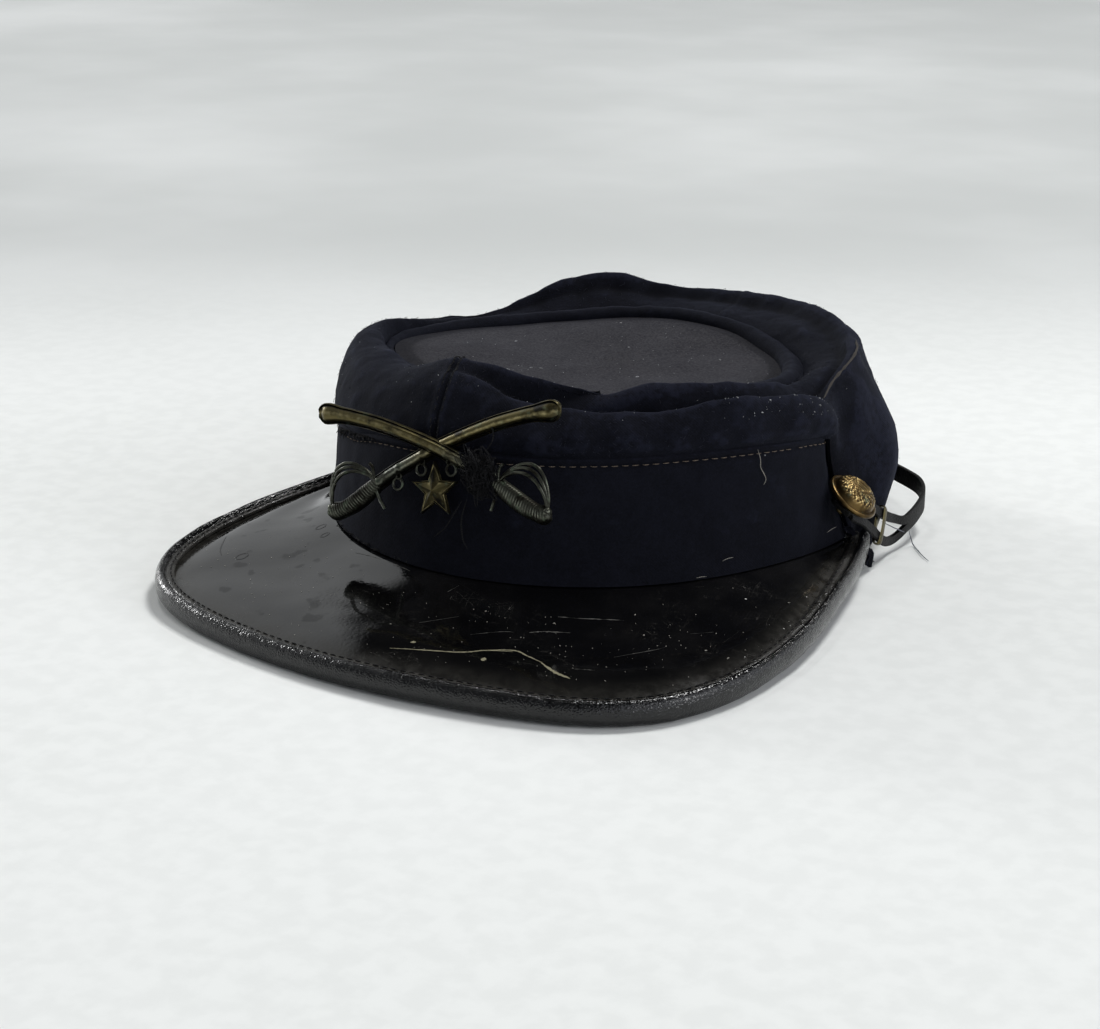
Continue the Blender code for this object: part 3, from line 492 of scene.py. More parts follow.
def wire_specks(get):
    """Dots in random cells: the distance to the cell's point, kept where the cell's own draw is low."""
    place = scaled(get["Place"], maths("DIVIDE", 1.0, get["Cell"]))
    cell = put("TexVoronoi", {"Vector": place, "Scale": 1.0, "Randomness": 1.0})
    draw = split(cell.outputs["Color"])
    size = times(get["Size"], maths("MULTIPLY_ADD", draw[1], 0.8, 0.3))
    size = maths("DIVIDE", size, get["Cell"])
    inside = maths("LESS_THAN", cell.outputs["Distance"], size)
    return {"Mask": times(inside, maths("LESS_THAN", draw[0], get["Share"]))}


def wire_grain(get):
    """Pebbles between creases: the distance to the edges of small cells, with a little noise."""
    wander = put("TexNoise", {"Vector": get["Place"], "Scale": 0.9, "Detail": 2.0}).outputs["Color"]
    moved = put("VectorMath", {0: wander, 1: (0.8, 0.8, 0.8), 2: get["Place"]},
                operation="MULTIPLY_ADD").outputs[0]
    place = scaled(moved, maths("DIVIDE", 1.0, get["Cell"]))
    cell = put("TexVoronoi", {"Vector": place, "Scale": 1.0}, feature="DISTANCE_TO_EDGE")
    high = ramped(cell.outputs["Distance"], 0.0, 0.35)
    return {"Height": maths("MULTIPLY_ADD", noise(get["Place"], 1.4, 2.0), 0.5, high)}


NAP = group("wool_nap", {"Lengths": None, "Place": None, "Rib": 0.8}, ["Height", "Tone", "Fleck"], wire_nap)
SPECKS = group("lint_specks", {"Place": None, "Cell": 6.0, "Share": 0.3, "Size": 0.25}, ["Mask"], wire_specks)
GRAIN = group("leather_grain", {"Place": None, "Cell": 0.8}, ["Height"], wire_grain)
print("groups:", NAP.name, SPECKS.name, GRAIN.name)

# %% The shared effects: wear


def wire_hairlines(get):
    """Fine scratches: noise squeezed across one direction, cut to its thin ridges, and broken by a cloud."""
    lines = 0.0
    for turn in (0.25, -0.6, 1.3):
        lay = put("VectorRotate", {"Vector": get["Place"], "Angle": turn}, rotation_type="Z_AXIS").outputs[0]
        squeezed = put("VectorMath", {0: lay, 1: (0.02, 0.55, 0.3)}, operation="MULTIPLY").outputs[0]
        wave = put("TexNoise", {"Vector": squeezed, "Scale": 1.0, "Detail": 1.0}).outputs["Fac"]
        wave = maths("ABSOLUTE", maths("SUBTRACT", wave, 0.5 + 0.03 * turn))
        lines = maths("MAXIMUM", lines, ramped(wave, 0.0, 0.004, 1.0, 0.0))
    patch = ramped(noise(get["Place"], 14.0), 0.5, 0.68)
    return {"Mask": times(lines, times(patch, get["Amount"]))}


def wire_rubbed_and_lit(get):
    """Wear on what stands out, which the wool also uses as a painted sheen and the sabers as a painted
    highlight: the stored height, broken up by noise.
    """
    broken = noise(get["Place"], 1.8)
    soft = times(get["Worn"], maths("MULTIPLY_ADD", broken, 1.6, -0.1))
    return {"Mask": times(ramped(soft, 0.25, 0.85), get["Amount"])}


def wire_tarnish(get):
    """Old metal: dark in what lies deep and in clouds, with a rough fine skin."""
    cloud = noise(get["Place"], 5.0, 4.0, 0.6)
    dark = maths("MULTIPLY_ADD", get["Deep"], 0.9, ramped(cloud, 0.42, 0.7))
    return {
        "Dark": maths("MINIMUM", dark, 1.0),
        "Green": ramped(noise(get["Place"], 2.4), 0.55, 0.72),
        "Height": noise(get["Place"], 0.5),
    }


HAIRLINES = group("hairline_scratches", {"Place": None, "Amount": 1.0}, ["Mask"], wire_hairlines)
RUBBED_AND_LIT = group("rubbed_and_lit_edges", {"Place": None, "Worn": 0.0, "Amount": 1.0}, ["Mask"], wire_rubbed_and_lit)
TARNISH = group("brass_tarnish", {"Place": None, "Deep": 0.0}, ["Dark", "Green", "Height"], wire_tarnish)
print("groups:", HAIRLINES.name, RUBBED_AND_LIT.name, TARNISH.name)

# %% Starting a finish


def start(name, roughness, metallic=0.0, specular=0.5, **shader_values):
    """A new material on the bench, and its shader's inputs."""
    made = bpy.data.materials.new(name)
    made.use_nodes = True
    Bench.tree = made.node_tree
    shader = Bench.tree.nodes["Principled BSDF"].inputs
    shader_values.update(Roughness=roughness, Metallic=metallic, Specular_IOR_Level=specular)
    for key, value in shader_values.items():
        shader[key.replace("_", " ")].default_value = value
    return made, shader


def in_mm():
    """The place on the piece, in millimetres."""
    return scaled(put("TexCoord").outputs["Object"], 1 / MM)


def cloth_lengths():
    """The way along the piece's rows and columns, in millimetres, from its UV map."""
    return put("UVMap", uv_map="lengths").outputs[0]


def bump_in(shader, height, depth_mm):
    """A bump of the given depth, joined to the shader's normal."""
    inputs = {"Height": height, "Strength": 1.0, "Distance": depth_mm * MM}
    join(put("Bump", inputs).outputs[0], shader["Normal"])


# %% [markdown]
# ## Wool
# Fulled wool is dull: hardly any shine, and a soft pale fuzz where it is seen at a grazing angle. The
# sheen of the shader gives that fuzz. The colour goes from a near-black blue to a dusty blue on the
# crests, which is partly wear and partly a painted sheen, it is darkened in the creases as painted
# shade, and lint lies on it.

# %% The wool finishes


def wool(name, dark, pale, rubbed_and_lit, dust, sheen, share, rib, depth, flecks):
    """Wool cloth: clouds from dark to pale, flecks, crests lighter as wear and painted sheen, creases
    darkened as painted shade, and lint of a share.
    """
    made, shader = start(
        name, 0.95, specular=0.10, Sheen_Weight=sheen, Sheen_Roughness=0.4, Sheen_Tint=(0.5, 0.6, 1.0, 1.0)
    )
    place = in_mm()
    nap = use(NAP, Lengths=cloth_lengths(), Place=place, Rib=rib)
    # The crests' paler blue is wear together with a painted sheen.
    edge = use(RUBBED_AND_LIT, Place=place, Worn=stored("worn_and_lit"), Amount=0.4)["Mask"]
    lint = use(SPECKS, Place=place, Cell=7.0, Share=share, Size=0.3)["Mask"]
    cloth = mixed(nap["Tone"], dark, pale)
    cloth = mixed(times(nap["Fleck"], flecks), cloth, rubbed_and_lit)
    # Painted shade: the cloth is darkened where it lies deep in its creases.
    cloth = mixed(times(stored("deep"), 0.6), cloth, tuple(0.4 * v for v in dark))
    cloth = mixed(edge, cloth, rubbed_and_lit)
    join(mixed(times(lint, 0.8), cloth, dust), shader["Base Color"])
    bump_in(shader, nap["Height"], depth)
    return made


# The third colour of each wool is its crests' colour: wear, and a painted sheen.
NAVY = wool("navy wool", (0.0024, 0.0027, 0.0046), (0.0044, 0.0049, 0.0082), (0.016, 0.018, 0.032),
            (0.22, 0.23, 0.24), 0.03, 0.08, 0.8, 0.16, 0.13)
DUSTY = wool("dusty wool", (0.0125, 0.0120, 0.0145), (0.024, 0.0235, 0.0265), (0.074, 0.071, 0.074),
             (0.42, 0.42, 0.42), 0.02, 0.16, 0.7, 0.16, 0.42)
print("wool finishes:", NAVY.name, "and", DUSTY.name)

# %% [markdown]
# ## Leather, lacquer, brass and thread
# The peak is lacquered leather, almost a mirror under fine scratches and dust. Its rolled edge is
# grained, so its highlight breaks into sparks. The brass has gone olive, dark where it lies deep.

# %% The lacquered and the grained leather


def lacquer(name, roughness, hair, share, grain_depth, cell, dusty, specular=0.5, rubbed_and_lit=0.35, clear=0.0):
    """Lacquered leather. The tint of its points is how dusty and dull it is there. The clear share of
    its gloss is a coat that fades under dust and smudges."""
    made, shader = start(name, roughness, specular=(1 - clear) * specular, Coat_Roughness=roughness)
    place = in_mm()
    dulled = times(stored("tint"), ramped(noise(place, 4.0, 4.0, 0.65), 0.25, 0.7, 0.35, 1.0))
    hairs = use(HAIRLINES, Place=place, Amount=hair)["Mask"]
    lint = use(SPECKS, Place=place, Cell=5.0, Share=share, Size=0.28)["Mask"]
    haze = ramped(noise(place, 22.0, 4.0), 0.45, 0.75)
    grain = use(GRAIN, Place=place, Cell=cell)["Height"]
    colour = mixed(times(haze, dusty), (0.0022, 0.0022, 0.0024), (0.020, 0.019, 0.018))
    colour = mixed(times(stored("worn_and_lit"), rubbed_and_lit), colour, (0.03, 0.029, 0.027))
    colour = mixed(dulled, colour, (0.036, 0.034, 0.029))
    colour = mixed(times(hairs, 0.5), colour, (0.20, 0.19, 0.17))
    join(mixed(lint, colour, (0.42, 0.42, 0.40)), shader["Base Color"])
    rough = maths("MULTIPLY_ADD", haze, 0.05, roughness)
    rough = maths("ADD", rough, times(maths("MAXIMUM", hairs, lint), 0.4))
    rough = maths("MULTIPLY_ADD", dulled, 0.35, rough)
    if clear:
        smudge = ramped(noise(place, 6.5, 2.0, 0.45), 0.60, 0.72)
        clean = ramped(maths("MAXIMUM", smudge, dulled), 0.0, 1.0, 2 * clear * specular, 0.0)
        join(clean, shader["Coat Weight"])
    join(rough, shader["Roughness"])
    bump_in(shader, grain, grain_depth)
    return made


PATENT = lacquer("patent leather", 0.045, 0.5, 0.32, 0.004, 1.6, 0.22, clear=0.3)
BINDING = lacquer("binding leather", 0.09, 0.3, 0.05, 0.07, 0.8, 0.08, 0.46, 0.10)
STRAP_LEATHER = lacquer("strap leather", 0.55, 0.6, 0.03, 0.07, 0.9, 0.3, 0.18)


def plain_leather(name, colour, roughness):
    """Bare leather or a stain, a little uneven in tone."""
    made, shader = start(name, roughness, specular=0.3)
    spread = noise(in_mm(), 1.1)
    join(mixed(spread, tuple(0.6 * v for v in colour), colour), shader["Base Color"])
    bump_in(shader, spread, 0.03)
    return made


WORN_SEAM = plain_leather("worn seam", (0.048, 0.042, 0.036), 0.9)
SCUFFED = plain_leather("scuffed leather", (0.25, 0.23, 0.145), 0.7)
CHAFED = plain_leather("chafed leather", (0.060, 0.058, 0.052), 0.55)
STAINED = plain_leather("stained lacquer", (0.003, 0.003, 0.003), 0.22)

# %% Brass and thread


def brass(name, bright, dull, dark, roughness, fine_depth, bare=None):
    """Old brass: dull, bright where it is worn, which on the sabers is partly a painted highlight, and dark
    where it lies deep. Where bare is given, the tint of its points is how much of the gilding is left over
    that greyer metal."""
    made, shader = start(name, roughness, metallic=1.0)
    place = in_mm()
    old = use(TARNISH, Place=place, Deep=stored("deep"))
    # Bright metal where it is worn, with a painted highlight along the sabers' bodies and the grips' ribs.
    edge = use(RUBBED_AND_LIT, Place=place, Worn=stored("worn_and_lit"), Amount=1.0)["Mask"]
    if bare:
        gilded = stored("tint")
        dull = mixed(gilded, bare, dull)
        bright = mixed(gilded, tuple(3.2 * v for v in bare), bright)
    metal = mixed(old["Dark"], dull, dark)
    metal = mixed(times(old["Green"], 0.35), metal, (0.14, 0.19, 0.13))
    join(mixed(edge, metal, bright), shader["Base Color"])
    join(maths("MULTIPLY_ADD", old["Dark"], 0.18, roughness), shader["Roughness"])
    bump_in(shader, old["Height"], fine_depth)
    return made


def thread(name, colour):
    """Thread with its plies: stripes that run slantwise round it."""
    made, shader = start(name, 0.85, specular=0.2)
    twist = split(cloth_lengths())
    ply = maths("SINE", maths("MULTIPLY_ADD", twist[0], 9.0, times(twist[1], 3.0)))
    join(mixed(ramped(ply, -1.0, 1.0), tuple(0.55 * v for v in colour), colour), shader["Base Color"])
    bump_in(shader, ply, 0.04)
    return made


OLD_BRASS = brass("old brass", (0.34, 0.29, 0.145), (0.102, 0.086, 0.038), (0.014, 0.013, 0.010), 0.30, 0.02,
                  bare=(0.075, 0.078, 0.062))
GILT = brass("gilt brass", (0.45, 0.34, 0.15), (0.138, 0.090, 0.034), (0.026, 0.015, 0.007), 0.32, 0.02)
TAN_THREAD = thread("tan thread", (0.17, 0.135, 0.105))
PALE_THREAD = thread("pale thread", (0.42, 0.40, 0.35))
BLACK_THREAD = thread("black thread", (0.007, 0.007, 0.008))
GREY_THREAD = thread("grey thread", (0.16, 0.17, 0.20))
FUZZ = thread("blue wool fibre", (0.022, 0.024, 0.036))
LINT = thread("grey lint", (0.33, 0.34, 0.35))
print("finishes:", len(bpy.data.materials))

# %% [markdown]
# ## The sizes of the cloth
# These tables are the ones the solids were made from: the band's foot and top edge, and the crown's
# widest place, its outer fold, the hollow behind it, the inner roll and the rim of the round top.

# %% Sections of the band and of the crown
BAND = table("azimuth foot_r foot_z top_r top_z", """
    -165 84 -0.5 80 32 / -145 77 -0.4 73 33 / -120 70 4 68 34 / -100 69 9 68 34.5
    -80 72.5 11.2 72.5 35.5 / -60 81.5 12.7 80.5 37 / -50 85.3 13.7 84 38 / -35 90 15 86.5 41.5
    -15 95 15.8 88.5 46 / 0 97.2 16 88.5 47.5 / 20 95.1 15.7 84.5 47.4 / 40 88 14.6 79 47.2
    60 79.6 13 76.3 46.6 / 75 75.3 11.5 73.6 44.5 / 82 74.1 10.8 71.8 42.9 / 86 73.6 10.4 70.3 41.9
    89 73.3 10.1 67.6 41.3 / 92 73.1 9.8 65.2 40.8 / 95 72.5 9.3 63.3 40.4 / 99 70.8 8.4 61.5 39.8
    104 68.4 7.2 60.4 39 / 110 66.2 6 59.4 38 / 120 64.8 4 59.2 36 / 132 67.5 1.8 62 34.5
    145 74 -0.4 68 33 / 165 84 -0.5 79.5 32 / 180 87 -0.5 83 32
""")
CROWN = table(
    "azimuth belly_r belly_z crest_r crest_z hollow_r hollow_z roll_r roll_z rim_r rim_z", """
    -167 89 27 74 57 67 55.5 60 54.5 47.5 53 / -155 88.5 28 74 58.5 67.5 56 61 54.5 49 52.5
    -142 87.5 30 74.5 60.5 68.5 57 62.5 54 51.5 51.5 / -131 86.5 31 74.5 58 69.5 55 64.5 52.5 54 50.5
    -122 85.5 32 75 54 70.8 52.6 66.8 51.3 57.5 49.8 / -113 84.5 34 75.5 50.4 72 50.8 69 50.6 60.2 49.4
    -100 83.5 37 75.8 51.2 73.4 52.2 71.2 51.8 63 50.2 / -86 82.5 41 76.8 53.2 74.4 54.6 72.6 54.2 64.8 51.4
    -70 82.8 45 78.6 55.8 75.4 57.8 73.2 57 65 53.4 / -52 84.4 46 80.3 57 75.4 59.2 71 57.4 62.4 54.4
    -36 86.3 48.5 82 57.8 76 60.3 70.2 59.6 61 54.6 / -22 88 50.5 82.5 59 76.5 61.5 70.5 60.8 61 55
    -10 88.8 52 83 61.8 77.5 65.4 71.5 66.3 61 55 / 2 88.6 52.5 80 64.8 76 64.4 71.5 67.4 61 55
    12 87.4 52.8 80.5 61 76 58.8 71.5 66 60.5 55 / 20 86 53 79.7 60.2 75 56.6 70.6 64.5 59.5 55
    28 84 53.2 79 59.7 74 55.2 69.3 62.4 58.5 55 / 36 82 53.4 78 59 72.8 54.4 67.8 62.3 57.3 55.3
    44 80.2 53.6 77.4 59.8 71.8 54 67 63 56.2 55.6 / 52 79 53.8 76.8 61.9 71 54 66 63.2 55.3 55.8
    60 78 53.5 76 60.5 70.2 54 65 61.8 54.5 55.5 / 68 77.3 52.5 75.3 59.6 69 54 64 60.2 53.7 55
    74 76.9 51.2 74.5 58.3 68 53.6 62.6 58.6 52.8 54.3 / 80 76.2 49.5 72.8 55.6 67 53 61 56.6 51.8 53.6
    85 74.6 47.6 70.4 52.8 65.5 52.6 59.8 55.3 51 53 / 91 70.4 46 67.8 54.3 64.5 54.4 58.6 54.6 50.2 52.3
    96 72.6 42 68 56.3 64.2 55.8 58.2 54.8 49.3 51.8 / 105 79.2 33 69 58.2 63.8 56.8 58 55 47.7 51
    118 80.3 28 68.5 58.5 63 57 57 54 46.5 50.5 / 132 82 27 70 57.5 63 56.5 56 54 45.5 50.5
    148 85 26 72 58 63.5 57 56.5 55 45 51 / 165 88 26 73.5 57.6 64.5 56.5 57 55.5 45.5 52.5
    180 89 26 74 56.9 65.5 56 58 55.3 46 53
""")
CLOTH, BAND_CLOTH, GAP, WELT_RADIUS = 1.8, 2.0, 0.3, 3.0
PUSHED_AT, PUSHED_WIDTH = -60.0, 27.0  # where the top has slid towards the wearer's right, over its welt
print("band sections", len(BAND["azimuth"]), "crown sections", len(CROWN["azimuth"]))

# %% Reading the sections


def pushed(azimuth):
    """1 in the middle of the place where the top is pushed out over its flattened welt, 0 elsewhere."""
    return hump(azimuth, PUSHED_AT, PUSHED_WIDTH)


def rim_edge(azimuth):
    """Radius and height of the round top's edge."""
    return cyclic(CROWN, "rim_r", azimuth) + 4.4 * pushed(azimuth), cyclic(CROWN, "rim_z", azimuth)


def welt_radius(azimuth):
    """The corded welt's radius, less where it is flattened."""
    return WELT_RADIUS * (1.0 - 0.56 * pushed(azimuth))


def band_edges(azimuth):
    """Foot and top radii and heights of the band's outer face."""
    columns = ("foot_r", "foot_z", "top_r", "top_z")
    foot_r, foot_z, top_r, top_z = (cyclic(BAND, column, azimuth) for column in columns)
    return foot_r, np.maximum(foot_z, 0.0), top_r, top_z


def torn_sag(azimuth):
    """How far the band's top edge sags at its torn spot."""
    return 1.3 * hump(azimuth, -27.0, 6.0)


def round_the_cap(count, places=(), closeness=2.5, width=6.0):
    """Azimuths round the cap, closer together near the given places: equal steps of a summed density."""
    fine = np.linspace(-180.0, 180.0, 3601)
    density = np.ones_like(fine) + sum(closeness * hump(fine, place, width) for place in places)
    total = np.concatenate([[0.0], np.cumsum((density[1:] + density[:-1]) / 2)])
    return np.interp(np.linspace(0.0, total[-1], count, endpoint=False), total, fine)


print("band radius in front:", cyclic(BAND, "foot_r", 0.0), "mm at its foot")

# %% [markdown]
# ## The band
# The band is a strip of wool round the head, folded in at its top and top-stitched to the crown. The
# stitches pull the cloth in, so the edge above them swells. A plain hoop would look like card, so the
# grid gets that pulled line, a rounded edge, slow waves, and a sag at the torn spot on its right.

# %% The band as a grid
STITCH_DROP = 1.7  # the stitch row below the band's top edge
CORNER_AT = 88.0


def band_face(azimuth, up):
    """The band's outer face at a share of its height, with its waves and its pulled stitch line, in mm."""
    foot_r, foot_z, top_r, top_z = band_edges(azimuth)
    top_z = top_z - torn_sag(azimuth)
    r = foot_r + (top_r - foot_r) * up
    z = foot_z + (top_z - foot_z) * up
    raw = polar(r, z, azimuth)
    below = (1.0 - up) * (top_z - foot_z)
    pucker = 0.12 * np.sin(np.radians(azimuth) * top_r * 2 * pi / 3.7)
    wave = 0.55 * ripple(raw * [1, 1, 0.4], 34.0, 3) + 0.14 * ripple(raw, 9.0, 4)
    r = r + wave * np.minimum(1.0, 4 * up * (1.12 - up))
    r = r - (0.42 + pucker) * hump(below, STITCH_DROP, 0.55) + 0.2 * hump(below, 0.5, 0.6)
    return r, z


azimuth = round_the_cap(560, (CORNER_AT, -28.0), 1.6, 9.0)[:, None]
up = np.concatenate([np.linspace(0, 0.8, 17)[:-1], np.linspace(0.8, 1.0, 16)])[None]
r, z = band_face(azimuth, up)
edge = np.linspace(0, pi, 7)[1:-1]
fold_r = r[:, -1:] - BAND_CLOTH / 2 * (1 - np.cos(edge))
fold_z = z[:, -1:] + 0.55 * np.sin(edge)
r = np.concatenate([r, fold_r, r[:, ::-3] - BAND_CLOTH], axis=1)
z = np.concatenate([z, fold_z, z[:, ::-3]], axis=1)
band_piece = piece("wool_band", [part(polar(r, z, azimuth), True, True, face=up.shape[1])], NAVY,
                   ["band"])
polar(r, z, azimuth)[:, :up.shape[1]]

# %% [markdown]
# ## The crown
# The side of the crown has slumped into an outer fold and an inner roll in front, and hangs down over
# the band at the rear. Cloth simulation would give folds of its own, so these are laid where they are:
# the sections give the big form, and each smaller fold is a ridge or a groove that runs across the
# grid on a smooth path, as a bell-shaped push along the surface's normal.

# %% The crown's sections
HEM_REAR_Z, HEM_REAR_CLEAR, HEM_TUCK = 1.6, CLOTH + 0.7, 5.0
DROP_LEFT, DROP_RIGHT, STEP_OUT = (85.5, 100.0), (-114.0, -98.0), 4.0


def crown_stations(azimuth):
    """The crown's outer face from its hem to its inner edge, as radii and heights."""
    foot_r, foot_z, top_r, top_z = band_edges(azimuth)
    top_z = top_z - torn_sag(azimuth)
    left, right = DROP_LEFT[0], DROP_RIGHT[1]
    fallen = np.where(azimuth > 0, smoothstep(*DROP_LEFT, azimuth), 1.0 - smoothstep(*DROP_RIGHT, azimuth))
    outside = np.where(
        azimuth > 0,
        smoothstep(left - STEP_OUT, left + 1.0, azimuth),
        1.0 - smoothstep(right - 1.0, right + STEP_OUT, azimuth),
    )
    hem_z = (top_z - 0.2) * (1.0 - fallen) + HEM_REAR_Z * fallen
    up_the_band = np.clip((hem_z - foot_z) / (top_z - foot_z), 0.0, 1.0)
    band_r = foot_r + (top_r - foot_r) * up_the_band
    belly_r = cyclic(CROWN, "belly_r", azimuth)
    clear = 1.5 + (HEM_REAR_CLEAR - 1.5) * smoothstep(100.0, 114.0, np.abs(azimuth))
    hem_r = band_r + clear * outside - 0.7 * (1.0 - outside)
    hem_r = np.maximum(hem_r, (belly_r - HEM_TUCK) * fallen**2 + hem_r * (1.0 - fallen**2))
    pairs = [(hem_r, hem_z)]
    over = pushed(azimuth)
    for place, out, rise in (("belly", 0, 0), ("crest", 0, 1.0), ("hollow", 0.5, 2.0), ("roll", 0, 2.8)):
        pairs.append((cyclic(CROWN, place + "_r", azimuth) + out * over,
                      cyclic(CROWN, place + "_z", azimuth) + rise * over))
    rim_r, rim_z = rim_edge(azimuth)
    pairs.append((rim_r + 2 * welt_radius(azimuth) + 2 * GAP, rim_z + 0.5))
    return np.stack([np.stack(pair, axis=-1) for pair in pairs], axis=1), fallen


# %% The crown's smaller folds
# Each fold is a path of knots: azimuth, place on the profile (0 hem, 1 widest, 2 outer fold, 3 hollow,
# 4 inner roll, 5 rim), height in mm and width in places.
FOLDS = {
    "second roll, laid over the first one's end":
        "12 2.8 0 0.34 / 20 3.05 1 0.34 / 28 3.4 2 0.36 / 35 3.85 1.8 0.38 / 43 4.05 0.9 0.38 /"
        "54 4.05 0 0.38",
    "valley between the two rolls":
        "16 3.45 0 0.28 / 24 3.75 -1 0.28 / 30 4.15 -1.4 0.3 / 37 4.5 -0.9 0.3 / 46 4.6 0 0.3",
    "crease from the seam down to the right":
        "-8 4 0 0.3 / -14 3.9 -2.4 0.4 / -20 3.6 -3.4 0.45 / -28 3 -2.6 0.4 / -37 2.35 -1.8 0.32 /"
        "-46 1.7 -2.6 0.24 / -55 1.35 -3.4 0.2 / -64 1.25 -3.2 0.2 / -80 1.15 0 0.3",
    "swelling above that crease":
        "-22 3.9 0 0.5 / -32 3.7 1.6 0.6 / -44 3.4 2.6 0.7 / -58 3.1 2.6 0.7 / -72 3 1.4 0.6 /"
        "-86 3 0 0.6",
    "edge of that swelling": "-38 2.2 0 0.3 / -48 2.1 1 0.3 / -60 2.1 0.9 0.3 / -74 2.1 0 0.3",
    "swelling below it": "-20 1.2 0 0.4 / -40 1 1.1 0.4 / -54 0.85 1.3 0.4 / -70 0.8 0 0.4",
    "crease behind the corner":
        "84 2.9 0 0.2 / 90 2.75 -1.3 0.22 / 100 2.8 -1.8 0.3 / 114 3 -1.2 0.35 / 128 3.1 0 0.4",
    "seam ridge at the rear left":
        "83 2 0 0.1 / 88 2.05 0.8 0.11 / 96 2.05 1 0.11 / 112 2.05 0.9 0.12 / 124 2 0.7 0.12 /"
        "140 1.9 0 0.14",
    "dent in the far side": "-176 2.6 0 0.5 / -164 2.4 -1 0.5 / -150 2.3 0 0.5",
    "soft roll beside the welt": "128 3.6 0 0.4 / 142 3.6 1.3 0.4 / 156 3.6 0 0.4",
    "drape at the rear left": "104 1.2 0 0.5 / 116 0.9 1.3 0.6 / 128 0.7 0 0.6",
    "drape at the rear right": "-150 1.1 0 0.6 / -136 0.9 1.4 0.7 / -122 0.8 0 0.6",
}
FRONT_SEAM_PLACES = (0.0, 1.0, 2.0, 3.0, 4.0, 5.0)
FRONT_SEAM = (-1.9, -2.2, -3.2, -4.6, -5.6, -6.2)


def fold_height(azimuth, place):
    """The sum over the folds of height * exp(-((place - path) / width)^2), with smoothed paths."""
    even = np.arange(-180.0, 180.0, 0.5)
    window = hump(np.arange(-12, 13), 0.0, 5.0)
    window /= window.sum()
    total = 0.0
    for knots in map(rows_of, FOLDS.values()):
        path, height, width = (np.interp(even, knots[:, 0], knots[:, k]) for k in (1, 2, 3))
        height = np.where((even < knots[0, 0]) | (even > knots[-1, 0]), 0.0, height)
        path, height = (np.convolve(np.pad(v, 12, mode="wrap"), window, "valid") for v in (path, height))
        path, height, width = (np.interp(azimuth, even, v) for v in (path, height, width))
        total = total + height * hump(place, path, width)
    return total


def seam_height(beside):
    """A seam at a distance in mm: a groove between two low lips."""
    return -0.5 * hump(beside, 0.0, 0.55) + 0.26 * hump(np.abs(beside), 1.7, 1.0)


# %% The crown as a grid
SPAN_STEPS = 13
crown_at = round_the_cap(660, (-3.0, CORNER_AT, 25.0), 1.7, 7.0)
stations, fallen = crown_stations(crown_at)
line = through(stations, SPAN_STEPS)
place = np.arange(line.shape[1])[None] / SPAN_STEPS
at = crown_at[:, None]
bare = polar(line[..., 0], line[..., 1], at)
facing = unit(relaxed(normals(bare, around=True), 14))
beside_front = (at - np.interp(place, FRONT_SEAM_PLACES, FRONT_SEAM)) * np.radians(line[..., 0])
beside_back = (180.0 - np.abs(at)) * np.sign(at) * np.radians(line[..., 0])
calm = smoothstep(0.0, 0.5, place) * smoothstep(5.0, 4.4, place)
drape = fallen[:, None] * smoothstep(2.0, 1.2, place)
push = fold_height(at, place) * smoothstep(5.0, 4.6, place)
push += seam_height(beside_front) * smoothstep(0.0, 0.2, place) + 0.3 * seam_height(beside_back)
push += calm * (0.45 * ripple(bare, 24.0, 11) + 0.2 * ripple(bare, 8.0, 12) + 0.06 * ripple(bare, 3.2, 13))
push += drape * 0.8 * ripple(bare * [1, 1, 0.2], 26.0, 14)
puff = (1.0 - fallen[:, None]) * 0.5 * hump(place, 0.45, 0.3)
outer = bare + facing * (push + puff)[..., None]
outer[..., 2] = np.maximum(outer[..., 2], 0.4)
crown_piece = piece("wool_crown", [part(walled(outer, 1.5), True, True, face=outer.shape[1])], NAVY,
                    ["crown"])

# %% [markdown]
# ## The welt and the round top
# A cord wrapped in wool stands round the top. It is a tube along the rim, thicker where the cloth has
# bunched, with small wrinkles across it. The top itself is a disc on a polar grid that sags in the
# middle. Its innermost ring is merged into one point, so there is no hole at the pole.

# %% The corded welt
welt_at = round_the_cap(420)[:, None]
turn = np.arange(20)[None] * 2 * pi / 20
cord_radius = welt_radius(welt_at)
middle_r, middle_z = rim_edge(welt_at)
middle_r, middle_z = middle_r + GAP + cord_radius, middle_z + 0.3
core = polar(middle_r, middle_z, welt_at)
thick = cord_radius + 0.45 * hump(welt_at, 104.0, 20.0) + 0.22 * ripple(core, 17.0, 21)
thick = thick + 0.5 * hump(welt_at, -156.0, 2.5)
tube = polar(middle_r + thick * np.cos(turn), middle_z + thick * np.sin(turn), welt_at)
tube = tube + normals(tube, True, True) * (0.1 * ripple(tube, 3.6, 22))[..., None]
piece("corded_welt", [part(tube, around=True, across=True, crest=2.4)], NAVY, ["crown_welt"])

# %% The round top
TOP_CLOTH, TOP_SAG = 1.8, 1.5
top_at = round_the_cap(300)[:, None]
share = np.concatenate([np.linspace(0.0, 1.0, 44), np.linspace(1.0, 0.0, 12)])[None]
upper = np.concatenate([np.ones(44), -np.ones(12)])[None]
rim_r, rim_z = rim_edge(top_at)
middle = cyclic(CROWN, "rim_z", np.arange(-180.0, 180.0, 7.2)).mean() - TOP_SAG
height = middle + (rim_z - middle) * share**2
flat = polar(rim_r * share, height, top_at)
swell = (0.38 * ripple(flat, 42.0, 31) + 0.1 * ripple(flat, 13.0, 32)) * smoothstep(1.0, 0.8, share)
swell = swell - 0.5 * hump(share, 0.985, 0.025)
top_piece = piece("round_top", [part(flat + np.stack(
    [0 * swell, 0 * swell, upper * TOP_CLOTH / 2 + swell], -1), around=True)], DUSTY,
    ["top_disc"], merge=0.02)

